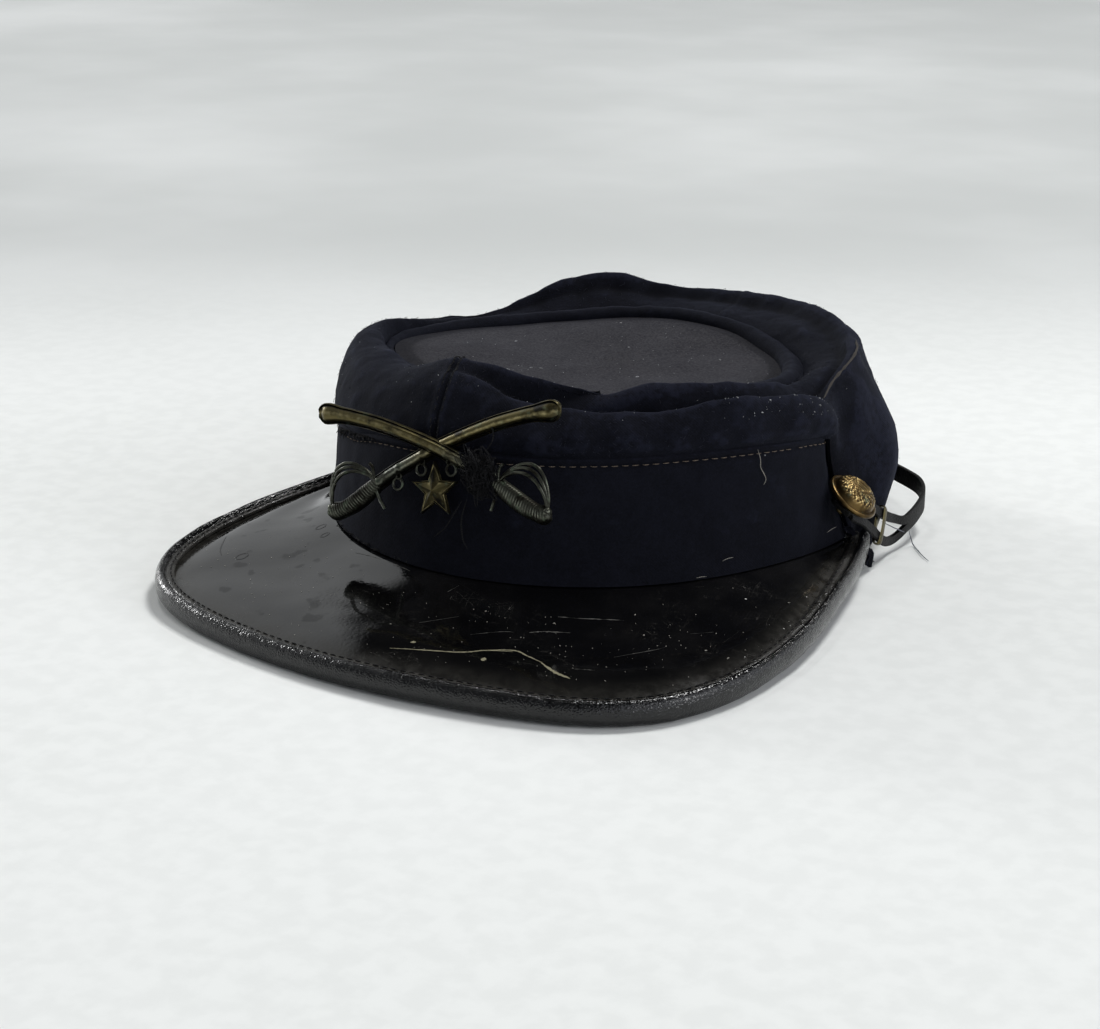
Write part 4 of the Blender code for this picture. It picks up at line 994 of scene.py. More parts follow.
# %% [markdown]
# ## The peak and its rolled edge
# The peak is a curved sheet of lacquered leather. Straight lines run from the band's foot to the rim,
# which makes it a developable sheet, as real leather is. A mirror shows the smallest wave, so it gets
# slow waves a tenth of a millimetre high. The binding is a profile carried along the rim: a lap that
# the stitches hold, a groove, and the round roll.

# %% The peak's plan and its grid
PEAK_PLAN = table("azimuth groove_r", """
    -102 78 / -80 83.5 / -65 97.3 / -50 118.9 / -35 137.3 / -20 136.9 / 0 134.3 / 20 136.9 / 35 137.3
    50 118.9 / 65 97.3 / 80 83.5 / 102 74
""")
PEAK_RISE = table("azimuth groove_z", """
    -102 11.4 / -80 12.8 / -60 10.8 / -40 8.8 / -20 7.2 / 0 7.35 / 20 7.7 / 38 7.3 / 60 9.2
    80 11 / 102 12.2
""")
PEAK_HALF_ANGLE, PEAK_LEATHER, PEAK_TUCK = 102.0, 2.4, 4.0
ROLL_HEIGHT, LAP, LAP_CLEAR, SLOT_DEPTH, BINDING_LEATHER = 7.0, 2.8, 0.8, 0.7, 1.0


def peak_frame(azimuth):
    """The groove line as points, with the level direction that points out of the peak."""
    groove = polar(natural(PEAK_PLAN, "groove_r", azimuth), natural(PEAK_RISE, "groove_z", azimuth),
                   azimuth, PEAK_CENTRE)
    along = np.gradient(groove, axis=0)
    return groove, unit(np.stack([along[:, 1], -along[:, 0], 0.0 * along[:, 0]], axis=-1))


def peak_stations(azimuth):
    """The peak's top face: under the band, at the band's face, at the binding and at the rim."""
    groove, out = peak_frame(azimuth)
    drop = np.array([0.0, 0.0, ROLL_HEIGHT / 2 - PEAK_LEATHER / 2])
    rim = groove + out * (SLOT_DEPTH - GAP) - drop
    bound = groove - out * (LAP + LAP_CLEAR) - drop
    way = bound[:, :2] - np.array(HEAD_CENTRE)
    round_head = np.degrees(np.arctan2(way[:, 0], -way[:, 1]))
    foot_r, foot_z, _, _ = band_edges(round_head)
    below = foot_z - GAP - 0.1
    face_r = np.minimum(foot_r + 0.6, np.linalg.norm(way, axis=1) - 0.4)
    return polar(foot_r - PEAK_TUCK, below, round_head), polar(face_r, below, round_head), bound, rim


rim_at = np.linspace(-PEAK_HALF_ANGLE, PEAK_HALF_ANGLE, 320)
inner, foot, bound, rim = peak_stations(rim_at)
t = np.linspace(0, 1, 64)[None, :, None]
sheet_top = foot[:, None] + (bound - foot)[:, None] * t
slack = 3.4 * smoothstep(95.0, 60.0, np.abs(rim_at))[:, None] / (2 * pi)
sheet_top[..., 2] -= slack * np.sin(2 * pi * t[..., 0])
wave = 0.10 * ripple(sheet_top, 38.0, 41) + 0.03 * ripple(sheet_top, 12.0, 42)
sheet_top[..., 2] += wave * np.minimum(1, 6 * t[..., 0] * (1.03 - t[..., 0]))
near_rim = smoothstep(0.80, 1.0, t[..., 0]) * np.ones_like(slack)
near_end = smoothstep(46.0, 88.0, rim_at)[:, None] * smoothstep(0.3, 0.9, t[..., 0])
dusted = np.concatenate([0 * slack, 0.55 * near_rim + 0.75 * near_end, np.ones((len(rim_at), 3))], axis=1)
dusted = np.clip(np.concatenate([dusted, 0 * dusted[:, ::-4]], axis=1), 0, 1)
to_rim = bound[:, None] + (rim - bound)[:, None] * np.linspace(0.3, 1, 3)[None, :, None]
peak_top = np.concatenate([inner[:, None], sheet_top, to_rim], axis=1)
peak_under = peak_top[:, ::-4] - np.array([0.0, 0.0, PEAK_LEATHER])
peak_piece = piece("leather_peak", [part(np.concatenate([peak_top, peak_under], 1), across=True, caps=True,
                                         crest=3.0, tint=dusted)], PATENT, ["visor"])
peak_tree = BVHTree.FromObject(peak_piece, bpy.context.evaluated_depsgraph_get())

# %% The rolled binding
half, slot = ROLL_HEIGHT / 2, PEAK_LEATHER / 2 + GAP
lap_top = slot + BINDING_LEATHER
nose = [(0.35 + 2.45 * cos(a) ** 0.72, half * sin(a)) for a in np.radians(np.linspace(84.0, 6.0, 12))]
upper_half = [(-LAP, slot), (-LAP, lap_top - 0.35), (-LAP + 0.25, lap_top - 0.02),
              (-LAP + 0.7, lap_top + 0.1), (-1.0, lap_top + 0.12), (-0.6, lap_top + 0.05),
              (-0.32, lap_top - 0.22), (-0.1, lap_top - 0.15),
              (0.12, lap_top + 0.35)] + nose
profile = np.array(upper_half + [(a, -b) for a, b in reversed(upper_half)]
                   + [(SLOT_DEPTH, -slot), (SLOT_DEPTH, slot)])
bind_at = np.linspace(-PEAK_HALF_ANGLE, PEAK_HALF_ANGLE, 520)
groove, out = peak_frame(bind_at)
roll = (groove - [0, 0, half])[:, None] + profile[None, :, :1] * out[:, None]
roll = roll + profile[None, :, 1:] * [0, 0, 1.0]
dent = 0.09 * ripple(roll, 16.0, 51) + 0.05 * ripple(roll, 5.0, 52)
roll = roll + normals(roll, False, True) * (dent * (np.abs(profile[:, 0]) < 2.9))[..., None]
roll[..., 2] = np.maximum(roll[..., 2], 0.02)
lapped = ((profile[:, 0] < -0.2) & (profile[:, 1] > 0)) * 0.85
piece("rolled_binding", [part(roll, across=True, caps=True, reach=2, crest=0.5, tint=lapped)], BINDING,
      ["visor_binding"])

# %% [markdown]
# ## The badge
# The sabers are stamped sheet brass: a round blade body inside a thin raised border, bands round the
# scabbards, ribbed grips and open guards. A profile across the stamping is carried along each saber on
# a spline. Bands and ribs are changes of its height along the way, so the grid stays one piece.

# %% Places on the badge
BADGE_SIDE, BADGE_FORWARD, BADGE_UP, BADGE_LEAN, BADGE_TURN = -0.8, 91.3, 48.8, 13.0, 9.7
# A saber's middle line and half width on the badge: across, up, half width.
SCABBARD = rows_of("""
    39.1 9.4 0.05 / 39 9.4 0.75 / 38.6 9.42 1.55 / 37.9 9.45 2.3 / 36.9 9.4 2.8 / 35.7 9.25 2.95 / 34 9.1 2.75
    31.5 8.8 2.35 / 27 8.1 2.15 / 18.5 6.2 2.1 / 9 3.3 2 / 0 0 2 / -8 -3.6 2 / -14.5 -6.6 2
    -20.5 -10 2.1
""")
GRIP = rows_of("""
    -19.5 -9.4 2 / -24 -12.6 2.5 / -28.5 -15.4 2.5 / -32 -17 2.3 / -34.6 -17.6 2.6
    -36.2 -17.8 1.5 / -36.7 -17.8 0.2
""")


def on_badge(across, up, depth):
    """Points from their places on the badge's face: turned by its tilt, then leaned back."""
    across, up, depth = np.broadcast_arrays(*(np.asarray(v, float) for v in (across, up, depth)))
    turn, lean = radians(BADGE_TURN), radians(BADGE_LEAN)
    sideways = across * cos(turn) - up * sin(turn)
    rise = across * sin(turn) + up * cos(turn)
    start = (HEAD_CENTRE[0] + BADGE_SIDE, HEAD_CENTRE[1] - BADGE_FORWARD, BADGE_UP)
    return np.stack([start[0] + sideways, start[1] + rise * sin(lean) - depth * cos(lean),
                     start[2] + rise * cos(lean) + depth * sin(lean)], axis=-1)


def stamped(rows, side_sign, depth, top, wear_and_highlight, count=14):
    """A stamping along a spline. top(v, place, length) is its front's height at v, from -1 to 1 across.
    The gilding, stored as the tint, is left on the scabbard's outer half. wear_and_highlight(v, length) gives
    what is bright, by wear and a painted highlight, and what has gone dark across it."""
    fine = through(rows[None], count)[0]
    line = fine[:, :2] * [side_sign, 1.0]
    along = unit(np.gradient(line, axis=0))
    length = walked(line)[:, None]
    v = np.concatenate([np.linspace(-1, 1, 25), np.linspace(1, -1, 5)])[None]
    front = np.concatenate([np.ones(25), np.zeros(5)])[None]
    wide = np.maximum(fine[:, 2:3], 0.05)
    high = np.where(front > 0, top(v, fine[:, :1], length), -0.75)
    high = high * np.minimum(1.0, wide / 1.2)
    points = on_badge(line[:, :1] - along[:, 1:] * wide * v, line[:, 1:] + along[:, :1] * wide * v,
                      depth + high)
    gilding = smoothstep(-14.0, 2.0, fine[:, :1]) * np.ones_like(v)
    made = part(points, across=True, caps=True, reach=2, crest=0.16, tint=gilding)
    # The bright share is wear and a painted highlight; the dark share darkens the tarnish.
    rubbed_and_lit, dark = (np.broadcast_to(front * value, points.shape[:2]).ravel() for value in wear_and_highlight(v, length))
    return made[:3] + (rubbed_and_lit, dark) + made[5:]


# %% The fronts of the stampings, their wear and their painted highlights


def scabbard_wear_and_highlight(v, length):
    """Bright along the body as a painted highlight that is partly wear, rubbed bright on the border, and dark
    in the groove between them.
    """
    return 0.75 * hump(v, 0.12, 0.3) + 0.6 * hump(np.abs(v), 0.96, 0.07), 1.2 * hump(np.abs(v), 0.78, 0.12)


def grip_wear_and_highlight(v, length):
    """Bright along the middle of each turn of the wire, partly wear and partly a painted highlight on the
    ribs, and darker elsewhere, most towards the sides.
    """
    turns = 0.5 + 0.5 * np.sin(2 * pi * (length / 0.85 + 0.5 * v))
    return 0.95 * turns * hump(v, 0.1, 0.6), 0.3 + 0.5 * v**2


def scabbard_top(v, across, length):
    """A round body inside a raised border, with collars beside the rings."""
    body = 1.5 * np.sqrt(np.maximum(0.0, 1.0 - (v / 0.76) ** 2)) * np.sqrt(smoothstep(38.3, 35.6, across))
    border = 0.5 * hump(np.abs(v), 0.94, 0.07)
    collar = sum(hump(across, place, 0.55) for place in (-12.4, -4.4, -19.4))
    return np.maximum(body, border) + 0.15 + 0.45 * collar * np.sqrt(np.maximum(0.0, 1.0 - 0.9 * v**2))


def grip_top(v, across, length):
    """A rounded grip wound with wire: ribs that slant a little across it."""
    ribs = 0.11 * np.sin(2 * pi * (length / 0.85 + 0.5 * v)) * smoothstep(-34.5, -33.0, across)
    return (1.6 + ribs) * np.sqrt(np.maximum(0.0, 1.0 - v**2)) + 0.15


# %% Guards, rings and the two sabers
GUARD_BOWS = ((9.3, 0.2), (8.0, 0.9), (6.5, 1.5))  # how far each bow stands out and rises
GUARD_START, GUARD_END = np.array([-20.6, -9.2]), np.array([-35.4, -17.0])


def wire(line, radius, sides=8):
    """A bent wire on the badge, from (across, up, depth) points."""
    return tubes(on_badge(*line.T)[None], radius, sides)


def hanging_ring(across, up, depth, radius, thick):
    """A torus in the badge's plane."""
    big = np.arange(28)[:, None] * 2 * pi / 28
    small = np.arange(8)[None] * 2 * pi / 8
    r = radius + thick * np.cos(small)
    return part(on_badge(across + r * np.cos(big), up + r * np.sin(big), depth + thick * np.sin(small)),
                around=True, across=True, reach=1)


def saber(side_sign, depth):
    """The parts of one saber."""
    parts = [stamped(SCABBARD, side_sign, depth, scabbard_top, scabbard_wear_and_highlight),
             stamped(GRIP, side_sign, depth + 0.2, grip_top, grip_wear_and_highlight, 34)]
    along = unit(GUARD_END - GUARD_START)
    square = np.array([along[1], -along[0]])
    t = np.linspace(0.0, 1.0, 40)[:, None]
    for bow_out, bow_depth in GUARD_BOWS:
        path = GUARD_START + t * (GUARD_END - GUARD_START) + np.sin(pi * t) ** 0.62 * bow_out * square
        line = np.concatenate([path * [side_sign, 1.0], depth + 0.5 + bow_depth * np.sin(pi * t)], axis=1)
        parts += wire(line, 0.46 + 0.08 * np.sin(6 * pi * t[:, 0]) ** 2)
    hook = rows_of("-17.9 -16.6 0.3 / -19.4 -13.6 0.8 / -20.6 -9.6 1.1 / -21.2 -5.6 1 / -22.4 -4.4 0.8")
    knob = rows_of("-35.2 -18 0.6 / -35.7 -16.9 1 / -36.3 -15.6 0.6")
    for bent, count, radius in ((hook, 8, 0.46), (knob, 5, 1.1 * tapered(11))):
        parts += wire(through(bent[None], count)[0] * [side_sign, 1, 1] + [0, 0, depth], radius)
    for across, up in ((-13.3, -9.9), (-5.4, -6.0)):
        parts.append(hanging_ring(side_sign * across, up, depth + 0.3, 1.55, 0.38))
        parts.append(hanging_ring(side_sign * (across + 0.5), up + 2.2, depth + 0.5, 0.8, 0.26))
    return parts


piece("badge_sabers", saber(-1.0, 1.0) + saber(1.0, -0.3), OLD_BRASS, ["crossed_sabers"])

# %% The star under the crossing
STAR_RADIUS, STAR_INNER, STAR_PLACE = 7.8, 0.42, (-0.8, -11.5, 0.6)
spoke = np.arange(10)[:, None] * pi / 5
reach_out = np.where(np.arange(10) % 2 == 0, STAR_RADIUS, STAR_RADIUS * STAR_INNER)[:, None]
inset = np.array([0.0, 0.6, 1.0, 1.0, 0.93, 0.86, 0.80, 0.0])[None]
rise = np.array([-1.0, -1.0, -1.0, 0.15, 0.35, 0.25, 0.15, 1.5])[None]
across, up = reach_out * inset * np.sin(spoke), reach_out * inset * np.cos(spoke)
star = on_badge(STAR_PLACE[0] + across, STAR_PLACE[1] + up, STAR_PLACE[2] + rise)
piece("badge_star_plate", [part(star, around=True, reach=1, tint=1.0)], OLD_BRASS,
      ["badge_star"], smooth_angle=12.0, merge=0.02)

# %% [markdown]
# ## Buttons
# A domed button is a turned shape: radius and height along a profile, carried round its axis. The
# relief on the dome is a plain wreath of leaves round a raised disc, a height added along the dome.

# %% The two buttons
BUTTON_FORWARD, BUTTON_UP = 1.2, 24.5
BUTTON_AXIS = (0.61, 0.11, 0.78)
# The profile as rows of radius and height.
BUTTON_PROFILE = rows_of("""
    0 -5.9 / 1.3 -5.9 / 1.3 -2 / 5 -1.6 / 7.2 -0.9 / 7.85 -0.45 / 7.98 0.1 / 7.75 0.6 / 7.25 0.75
    6.9 0.55 / 6.75 0.75 / 6.2 2.2 / 4.9 3.4 / 3.2 4.25 / 1.5 4.62 / 0 4.7
""")


def button(name, side_sign, out, node):
    """Rings of the profile's radius and height round the axis, raised by the leaves' relief."""
    axis = Vector((side_sign * BUTTON_AXIS[0], BUTTON_AXIS[1], BUTTON_AXIS[2])).normalized()
    frame_of = np.array(axis.to_track_quat("Z", "Y").to_matrix())
    fine = through(BUTTON_PROFILE[None], 9)[0]
    angle = np.arange(220)[:, None] * 2 * pi / 220
    r, h = np.maximum(fine[None, :, 0], 0.0), fine[None, :, 1]
    dome = smoothstep(1.2, 2.4, h) * np.ones_like(angle)
    leaves = np.sin(17 * angle + 2.6 * r) * hump(r, 5.4, 0.55)
    leaves = leaves + np.sin(13 * angle - 3.0 * r) * hump(r, 4.0, 0.5)
    shield = smoothstep(2.75, 2.45, r * (1.0 + 0.16 * np.cos(3 * angle)))
    bars = shield * np.sin(2 * pi * r * np.cos(angle) / 0.85)
    scrolls = np.sin(29 * angle + 5.0 * np.sin(3 * r)) * np.sin(4.1 * r)
    scrolls = scrolls * smoothstep(6.6, 6.0, r) * (1 - shield)
    h = h + dome * (0.14 * leaves + 0.12 * scrolls + 0.25 * shield + 0.1 * bars)
    around_axis = np.stack([r * np.cos(angle), r * np.sin(angle), h], axis=-1)
    spot = np.array([HEAD_CENTRE[0] + side_sign * out, HEAD_CENTRE[1] - BUTTON_FORWARD, BUTTON_UP])
    piece(name, [part(around_axis @ frame_of.T + spot, around=True, reach=3, crest=0.10)], GILT,
          [node], merge=0.01)


for name, side_sign, out in (("left", 1.0, 77.7), ("right", -1.0, 77.2)):
    button("button_" + name, side_sign, out, "side_button_" + name)

# %% [markdown]
# ## The chin strap
# A narrow leather strap goes round the back on the two buttons, through a slit near each end. Its
# middle line is a spline, and its width is laid across that line with a lean of its own. Where a slit
# opens, the lower and the upper half part, and where it is closed their edges merge into one sheet.

# %% The strap as a sheet
# Azimuth, radius and height of its middle line, its lean in degrees and half the slit's opening.
STRAP = rows_of("""
    86.4 76.1 21.6 -50 0 / 88.7 75.4 21.2 -50 1.7 / 93.5 77.4 18.4 -32 1.7 / 98.5 79.2 14 -14 1.9
    103.5 80.6 9.4 -4 2.3 / 108.3 82.2 7 0 1.8 / 112.5 85.2 7 0 0 / 117.8 88.5 8.2 0 0
    122.7 90.8 9.6 0 0 / 127.5 90.9 11 0 0 / 131.6 88.3 12 0 0 / 136 86.2 12.3 0 0
    145 87.4 12 0 0 / 155 89.6 11 0 0 / 165 91.4 9 0 0 / 178 92.6 6.2 0 0
    192 92.8 4.4 0 0 / 206 92 3.6 0 0 / 220 90.6 3.4 0 0 / 232 89.6 3.4 0 0
    242 88.8 3.6 0 0 / 250 86.8 5.6 -3 1.4 / 256 83.4 9.4 -8 1.7 / 261.3 80.2 14 -16 1.7
    266.5 77.3 18.4 -34 1.7 / 271.3 74.8 21.2 -50 1.7 / 273.6 75.5 21.6 -50 0
""")
STRAP_WIDTH, STRAP_THICK = 5.6, 1.2
stations = np.column_stack([polar(STRAP[:, 1], STRAP[:, 2], STRAP[:, 0]), STRAP[:, 3:]])
fine = through(stations[None], 9)[0]
line, lean, opening = fine[:, :3], np.radians(fine[:, 3:4]), np.maximum(fine[:, 4:5], 0.0)
opening = np.where(opening < 0.12, 0.0, opening)
opening[[0, -1]] = 0.0
along = unit(np.gradient(line, axis=0))
upward = unit(np.array([0.0, 0.0, 1.0]) - along * along[:, 2:])
outward = np.cross(along, upward)
wide = upward * np.cos(lean) + outward * np.sin(lean)
face = np.cross(along, wide)


def strap_half(sign):
    """One half of the strap's width as a walled loop: its front, its outer edge and its back."""
    across = np.array([0.0, 0.5, 0.93, 1.0, 0.93, 0.5, 0.0]) * STRAP_WIDTH / 2
    deep = np.array([0.5, 0.5, 0.46, 0.0, -0.46, -0.5, -0.5]) * STRAP_THICK
    ripples = 0.12 * ripple(line, 9.0, 61)
    points = line[:, None] + wide[:, None] * (sign * (opening + across[None]))[..., None]
    return points + face[:, None] * (deep[None] + ripples[:, None])[..., None]


HALF, BOTH = 7, 14  # the points across one half and across both
RING = [*range(HALF), *range(BOTH - 1, HALF - 1, -1)]
rows = len(line)
strap_points = np.concatenate([strap_half(-1.0), strap_half(1.0)], axis=1).reshape(-1, 3)
i, j = corners(rows, HALF, False, False)
quads = np.concatenate([i * BOTH + j, i * BOTH + HALF + j])
slit = (opening[:-1, 0] > 0) | (opening[1:, 0] > 0)
k = np.arange(rows - 1)[slit] * BOTH
walls = [np.stack([k + c, k + BOTH + c, k + BOTH + c + HALF - 1, k + c + HALF - 1], -1) for c in (0, HALF)]
ends = [RING, [(rows - 1) * BOTH + c for c in RING]]
faces = np.concatenate([quads] + walls).tolist() + ends
shown_uv = np.stack([np.concatenate([i, i]) * 1.0, np.concatenate([j, j + HALF]) * 0.8], -1).reshape(-1, 2)
hidden_uv = np.zeros((4 * sum(map(len, walls)) + 2 * BOTH, 2))
strap_uv = np.concatenate([shown_uv, hidden_uv])
piece("chin_strap_leather", [(strap_points, faces, strap_uv, 0.0, 0.0, 0.0)], STRAP_LEATHER,
      ["chin_strap"], merge=0.02)
print("strap", round(walked(line)[-1]), "mm long,", STRAP_WIDTH, "mm wide")

# %% The brass slide
# A flat band of brass bent round the strap: a rounded oblong carried a short way along it.
SLIDE_AT, SLIDE_LENGTH, SLIDE_WALL = 32, 2.4, 0.45
turn = np.arange(40)[:, None] * 2 * pi / 40
edge = np.linspace(0, 2 * pi, 12, endpoint=False)[None]
wall = SLIDE_WALL * (0.5 + 0.5 * np.cos(edge))
wide_by = opening[SLIDE_AT] + STRAP_WIDTH / 2 + 0.5 + wall
thick_by = 0.95 + wall
bend = np.abs(np.cos(turn)) ** 0.35 * np.sign(np.cos(turn))
rise_of = np.abs(np.sin(turn)) ** 0.6 * np.sign(np.sin(turn))
slide = line[SLIDE_AT] + wide[SLIDE_AT] * (bend * wide_by)[..., None]
slide = slide + face[SLIDE_AT] * (rise_of * thick_by)[..., None]
slide = slide + along[SLIDE_AT] * (SLIDE_LENGTH / 2 * np.sin(edge))[..., None]
piece("brass_slide", [part(slide, True, True, reach=1, crest=0.15, tint=1.0)], OLD_BRASS,
      ["strap_slide"])

# %% [markdown]
# ## Thread
# Stitches are short tapered tubes laid on the cloth. Their places are read off the same functions that
# made the cloth, so they sit on it. Loose ends are tubes along splines, and a tangle is many paths
# whose coordinates are sums of a few sines, which curl without ever breaking.

# %% Stitches on the band


def laid(starts, ends, lift, radius):
    """Stitches from starts to ends, lifted off the cloth and bowed in the middle."""
    t = np.linspace(0, 1, 5)[None, :, None]
    paths = starts[:, None] * (1 - t) + ends[:, None] * t + lift[:, None] * (0.35 + 0.2 * np.sin(pi * t))
    return tubes(paths, radius * tapered(5, 0.35)[None], 6)


def band_spot(azimuth, below):
    """Points on the band's outer face, a distance below its top edge."""
    _, foot_z, _, top_z = band_edges(azimuth)
    r, z = band_face(azimuth, 1.0 - below / (top_z - foot_z))
    return polar(r, z, azimuth)


PITCH, STITCH, LAP_PITCH, LAP_STITCH = 2.8, 1.8, 2.7, 1.9
walk = np.linspace(-100.0, 89.5, 4000)
run = band_spot(walk, STITCH_DROP)
gone = walked(run)
begin = np.arange(1.0, gone[-1] - PITCH, PITCH)
draw = np.random.default_rng(5)
begin = begin[draw.random(len(begin)) > 0.04] + draw.normal(0, 0.12, 1)
low_at, high_at = np.interp(begin, gone, walk), np.interp(begin + STITCH, gone, walk)
starts, ends = band_spot(low_at, STITCH_DROP), band_spot(high_at, STITCH_DROP)
lift = polar(1.0, 0.0, low_at, (0.0, 0.0)) * [1, 1, 0]
piece("band_stitches", laid(starts, ends, lift, 0.13), TAN_THREAD)

# %% Stitches beside the seam and on the binding's lap


def crown_spot(azimuth, place):
    """Points of the crown's outer grid nearest to the given azimuths and profile places."""
    i = np.abs(crown_at[None] - azimuth[:, None]).argmin(1)
    j = np.clip(np.rint(place * SPAN_STEPS).astype(int), 0, outer.shape[1] - 1)
    return outer[i, j], normals(outer, around=True)[i, j]


seam_place = np.linspace(0.35, 4.2, 24)
seam_parts = []
for beside in (-1.2, 1.1):
    seam_at = np.interp(seam_place, FRONT_SEAM_PLACES, FRONT_SEAM) + np.degrees(beside / 80.0)
    spot, out_of = crown_spot(seam_at, seam_place)
    next_spot, _ = crown_spot(seam_at, seam_place + 0.08)
    seam_parts += laid(spot, spot + unit(next_spot - spot) * 1.5, out_of * 0.6, 0.17)
piece("seam_stitches", seam_parts, BLACK_THREAD)

lap_at = np.linspace(-PEAK_HALF_ANGLE + 1.5, PEAK_HALF_ANGLE - 1.5, 3000)
lap_groove, lap_out = peak_frame(lap_at)
lap_line = lap_groove - lap_out * 1.75 + np.array([0, 0, lap_top + 0.08 - half])
lap_gone = walked(lap_line)
begin = np.arange(0.5, lap_gone[-1] - 3.0, LAP_PITCH)


def lap_spot(distance):
    """Points on the lap's stitch line, by the way gone along it."""
    return np.stack([np.interp(distance, lap_gone, lap_line[:, k]) for k in range(3)], -1)


starts, ends = lap_spot(begin), lap_spot(begin + LAP_STITCH)
lift = np.tile([0.0, 0.0, 0.4], (len(starts), 1))
piece("lap_stitches", laid(starts, ends, lift, 0.19), BLACK_THREAD)

# %% Loose threads


def threads(routes, radius):
    """Smooth threads through a few places each, given by azimuth, radius and height."""
    parts = []
    for azimuth, r, z in (rows_of(route).T for route in routes):
        line = through(polar(r, z, azimuth)[None], 10)
        parts += tubes(line, radius * tapered(line.shape[1])[None], 6)
    return parts


piece("loose_pale_threads", threads([
    "60.4 77 46.2 / 60.9 77.4 43.6 / 61 77.5 41.2 / 61.9 77.7 38.8 / 62.1 77.9 37.4 / "
    "61.6 77.9 36.2",
], 0.1), PALE_THREAD)
piece("loose_pale_ends", threads([
    "51.2 83.3 18.1 / 52.3 83 18.5 / 53.7 82.4 18.5",
    "83 74.6 15.4 / 85.6 74.2 15.5 / 88 73.7 15.1",
    "45.6 86.6 15.2 / 46.6 86.3 15.3 / 47.6 86 15.1",
], 0.07), PALE_THREAD)
piece("loose_grey_threads", threads([
    "111 86.4 6 / 112.2 86.9 3 / 112.2 87.8 0.6 / 109.6 89.4 0.5 / 107 91.2 0.5 / 104.2 94 0.5",
    "101 80.6 12.6 / 104 83 9.8 / 107 84.8 7.4 / 109 85.4 6",
], 0.17), GREY_THREAD)

# %% [markdown]
# ## Frayed places
# The badge was sewn on with black thread that has come undone into a tangle. The band's foot and its
# torn top edge on the right end in short fibres, and a rag of lining hangs at the end of the peak.

# %% The tangle


def curls(count, rows, reach_mm, seed):
    """Curling paths round the origin: each coordinate is a sum of four seeded sines of the way along."""
    draw = np.random.default_rng(seed)
    t = np.linspace(0, 1, rows)[None, :, None, None]
    each = (count, 1, 3, 4)
    pace, phase, size = (draw.uniform(*span, each) for span in ((3.0, 24.0), (0, 2 * pi), (0.08, 0.36)))
    start_at = draw.normal(0, 0.42, (count, 1, 3))
    return (start_at + (size * np.sin(pace * t + phase)).sum(-1)) * reach_mm


TANGLE_THREADS, TANGLE_STEPS = 112, 34
knot_of = curls(TANGLE_THREADS, TANGLE_STEPS, np.array([4.1, 5.0, 1.8]), 71)
across, up, forward = np.moveaxis(knot_of, -1, 0)
tangle = on_badge(15.6 + across - 0.25 * up, -7.2 + up, 2.2 + np.abs(forward))
tuft = tubes(tangle, np.linspace(0.10, 0.27, TANGLE_THREADS)[:, None] * tapered(TANGLE_STEPS)[None])
for tail in ("9.5 -14 2.4 / 6.5 -18 2.6 / 3 -21.5 1.6 / -1.5 -24 0.4",
             "11 -13.5 2.4 / 9 -19 2.2 / 8.4 -24 1 / 9.4 -27 0.3",
             "16 -2 2 / 19 2 1.6 / 18 6 0.8 / 15.4 8 0.4"):
    curve = through(rows_of(tail)[None], 9)[0]
    tuft += wire(curve, 0.2 * tapered(len(curve))[None], 5)
piece("thread_tangle", tuft, BLACK_THREAD)

# %% Frayed edges and the rag


def fibres(azimuths, r, z, out_mm, down_mm, seed):
    """Short fibres that start on a line and bend out and down by their own amounts."""
    draw = np.random.default_rng(seed)
    n, rows = len(azimuths), 6
    t = np.linspace(0, 1, rows)[None]
    a = azimuths[:, None] + draw.normal(0, 1.1, (n, 1)) * t
    rr = r[:, None] + draw.uniform(0.15, 1.0, (n, 1)) * out_mm * t - 0.4
    zz = z[:, None] - draw.uniform(0.1, 1.0, (n, 1)) * down_mm * t**1.5 + draw.normal(0, 0.2, (n, 1)) * t
    return tubes(polar(rr, zz, a), 0.14 * tapered(rows)[None], 4)


foot_at = np.sort(np.random.default_rng(8).uniform(-32.0, -4.0, 70))
foot_r, foot_z, _, _ = band_edges(foot_at)
torn_at = np.sort(np.random.default_rng(9).uniform(-36.0, -19.0, 70))
_, _, torn_r, torn_z = band_edges(torn_at)
rag_down = np.random.default_rng(10).uniform(0.35, 1.0, 60)
frayed = fibres(foot_at, foot_r, foot_z + 0.7, 1.1, 0.7, 81)
frayed += fibres(torn_at, torn_r + 0.5, torn_z - 0.6, 1.6, 2.6, 82)
frayed += fibres(92.0 + 4.2 * rag_down, np.full_like(rag_down, 80.0), 13.2 - 11.0 * rag_down, 1.3, 1.4, 83)
piece("frayed_edges", frayed, BLACK_THREAD)

across, down = np.meshgrid(np.linspace(-1, 1, 9), np.linspace(0, 1, 22), indexing="xy")
ragged = 1.0 + 0.18 * np.sin(9 * down + 2) + 0.12 * np.sin(23 * down)
rag_at = 92.6 + 3.0 * down + across * 1.5 * ragged * (1 - 0.55 * down) + 0.5 * np.sin(11 * down)
rag_r = 74.6 + 5.6 * smoothstep(0.0, 0.55, down) + 0.7 * np.sin(3.2 * across + 7 * down)
rag_z = 13.5 - 12.0 * down - 0.6 * across
rag = polar(rag_r, rag_z, rag_at)
piece("torn_lining", [part(walled(rag, 0.5, False), across=True, caps=True, reach=1)], NAVY)

# %% [markdown]
# ## The worn seam, lint and fuzz
# On the rear left the seam's edge has rubbed down to its brown backing. It is a thin cord laid on the
# ridge. Wool also has a fuzz that catches the light along its folds: 2,400 fibres with eleven faces
# each, set on the cloth's own grid. Lint lies where dust settles, on the top and on the folds.

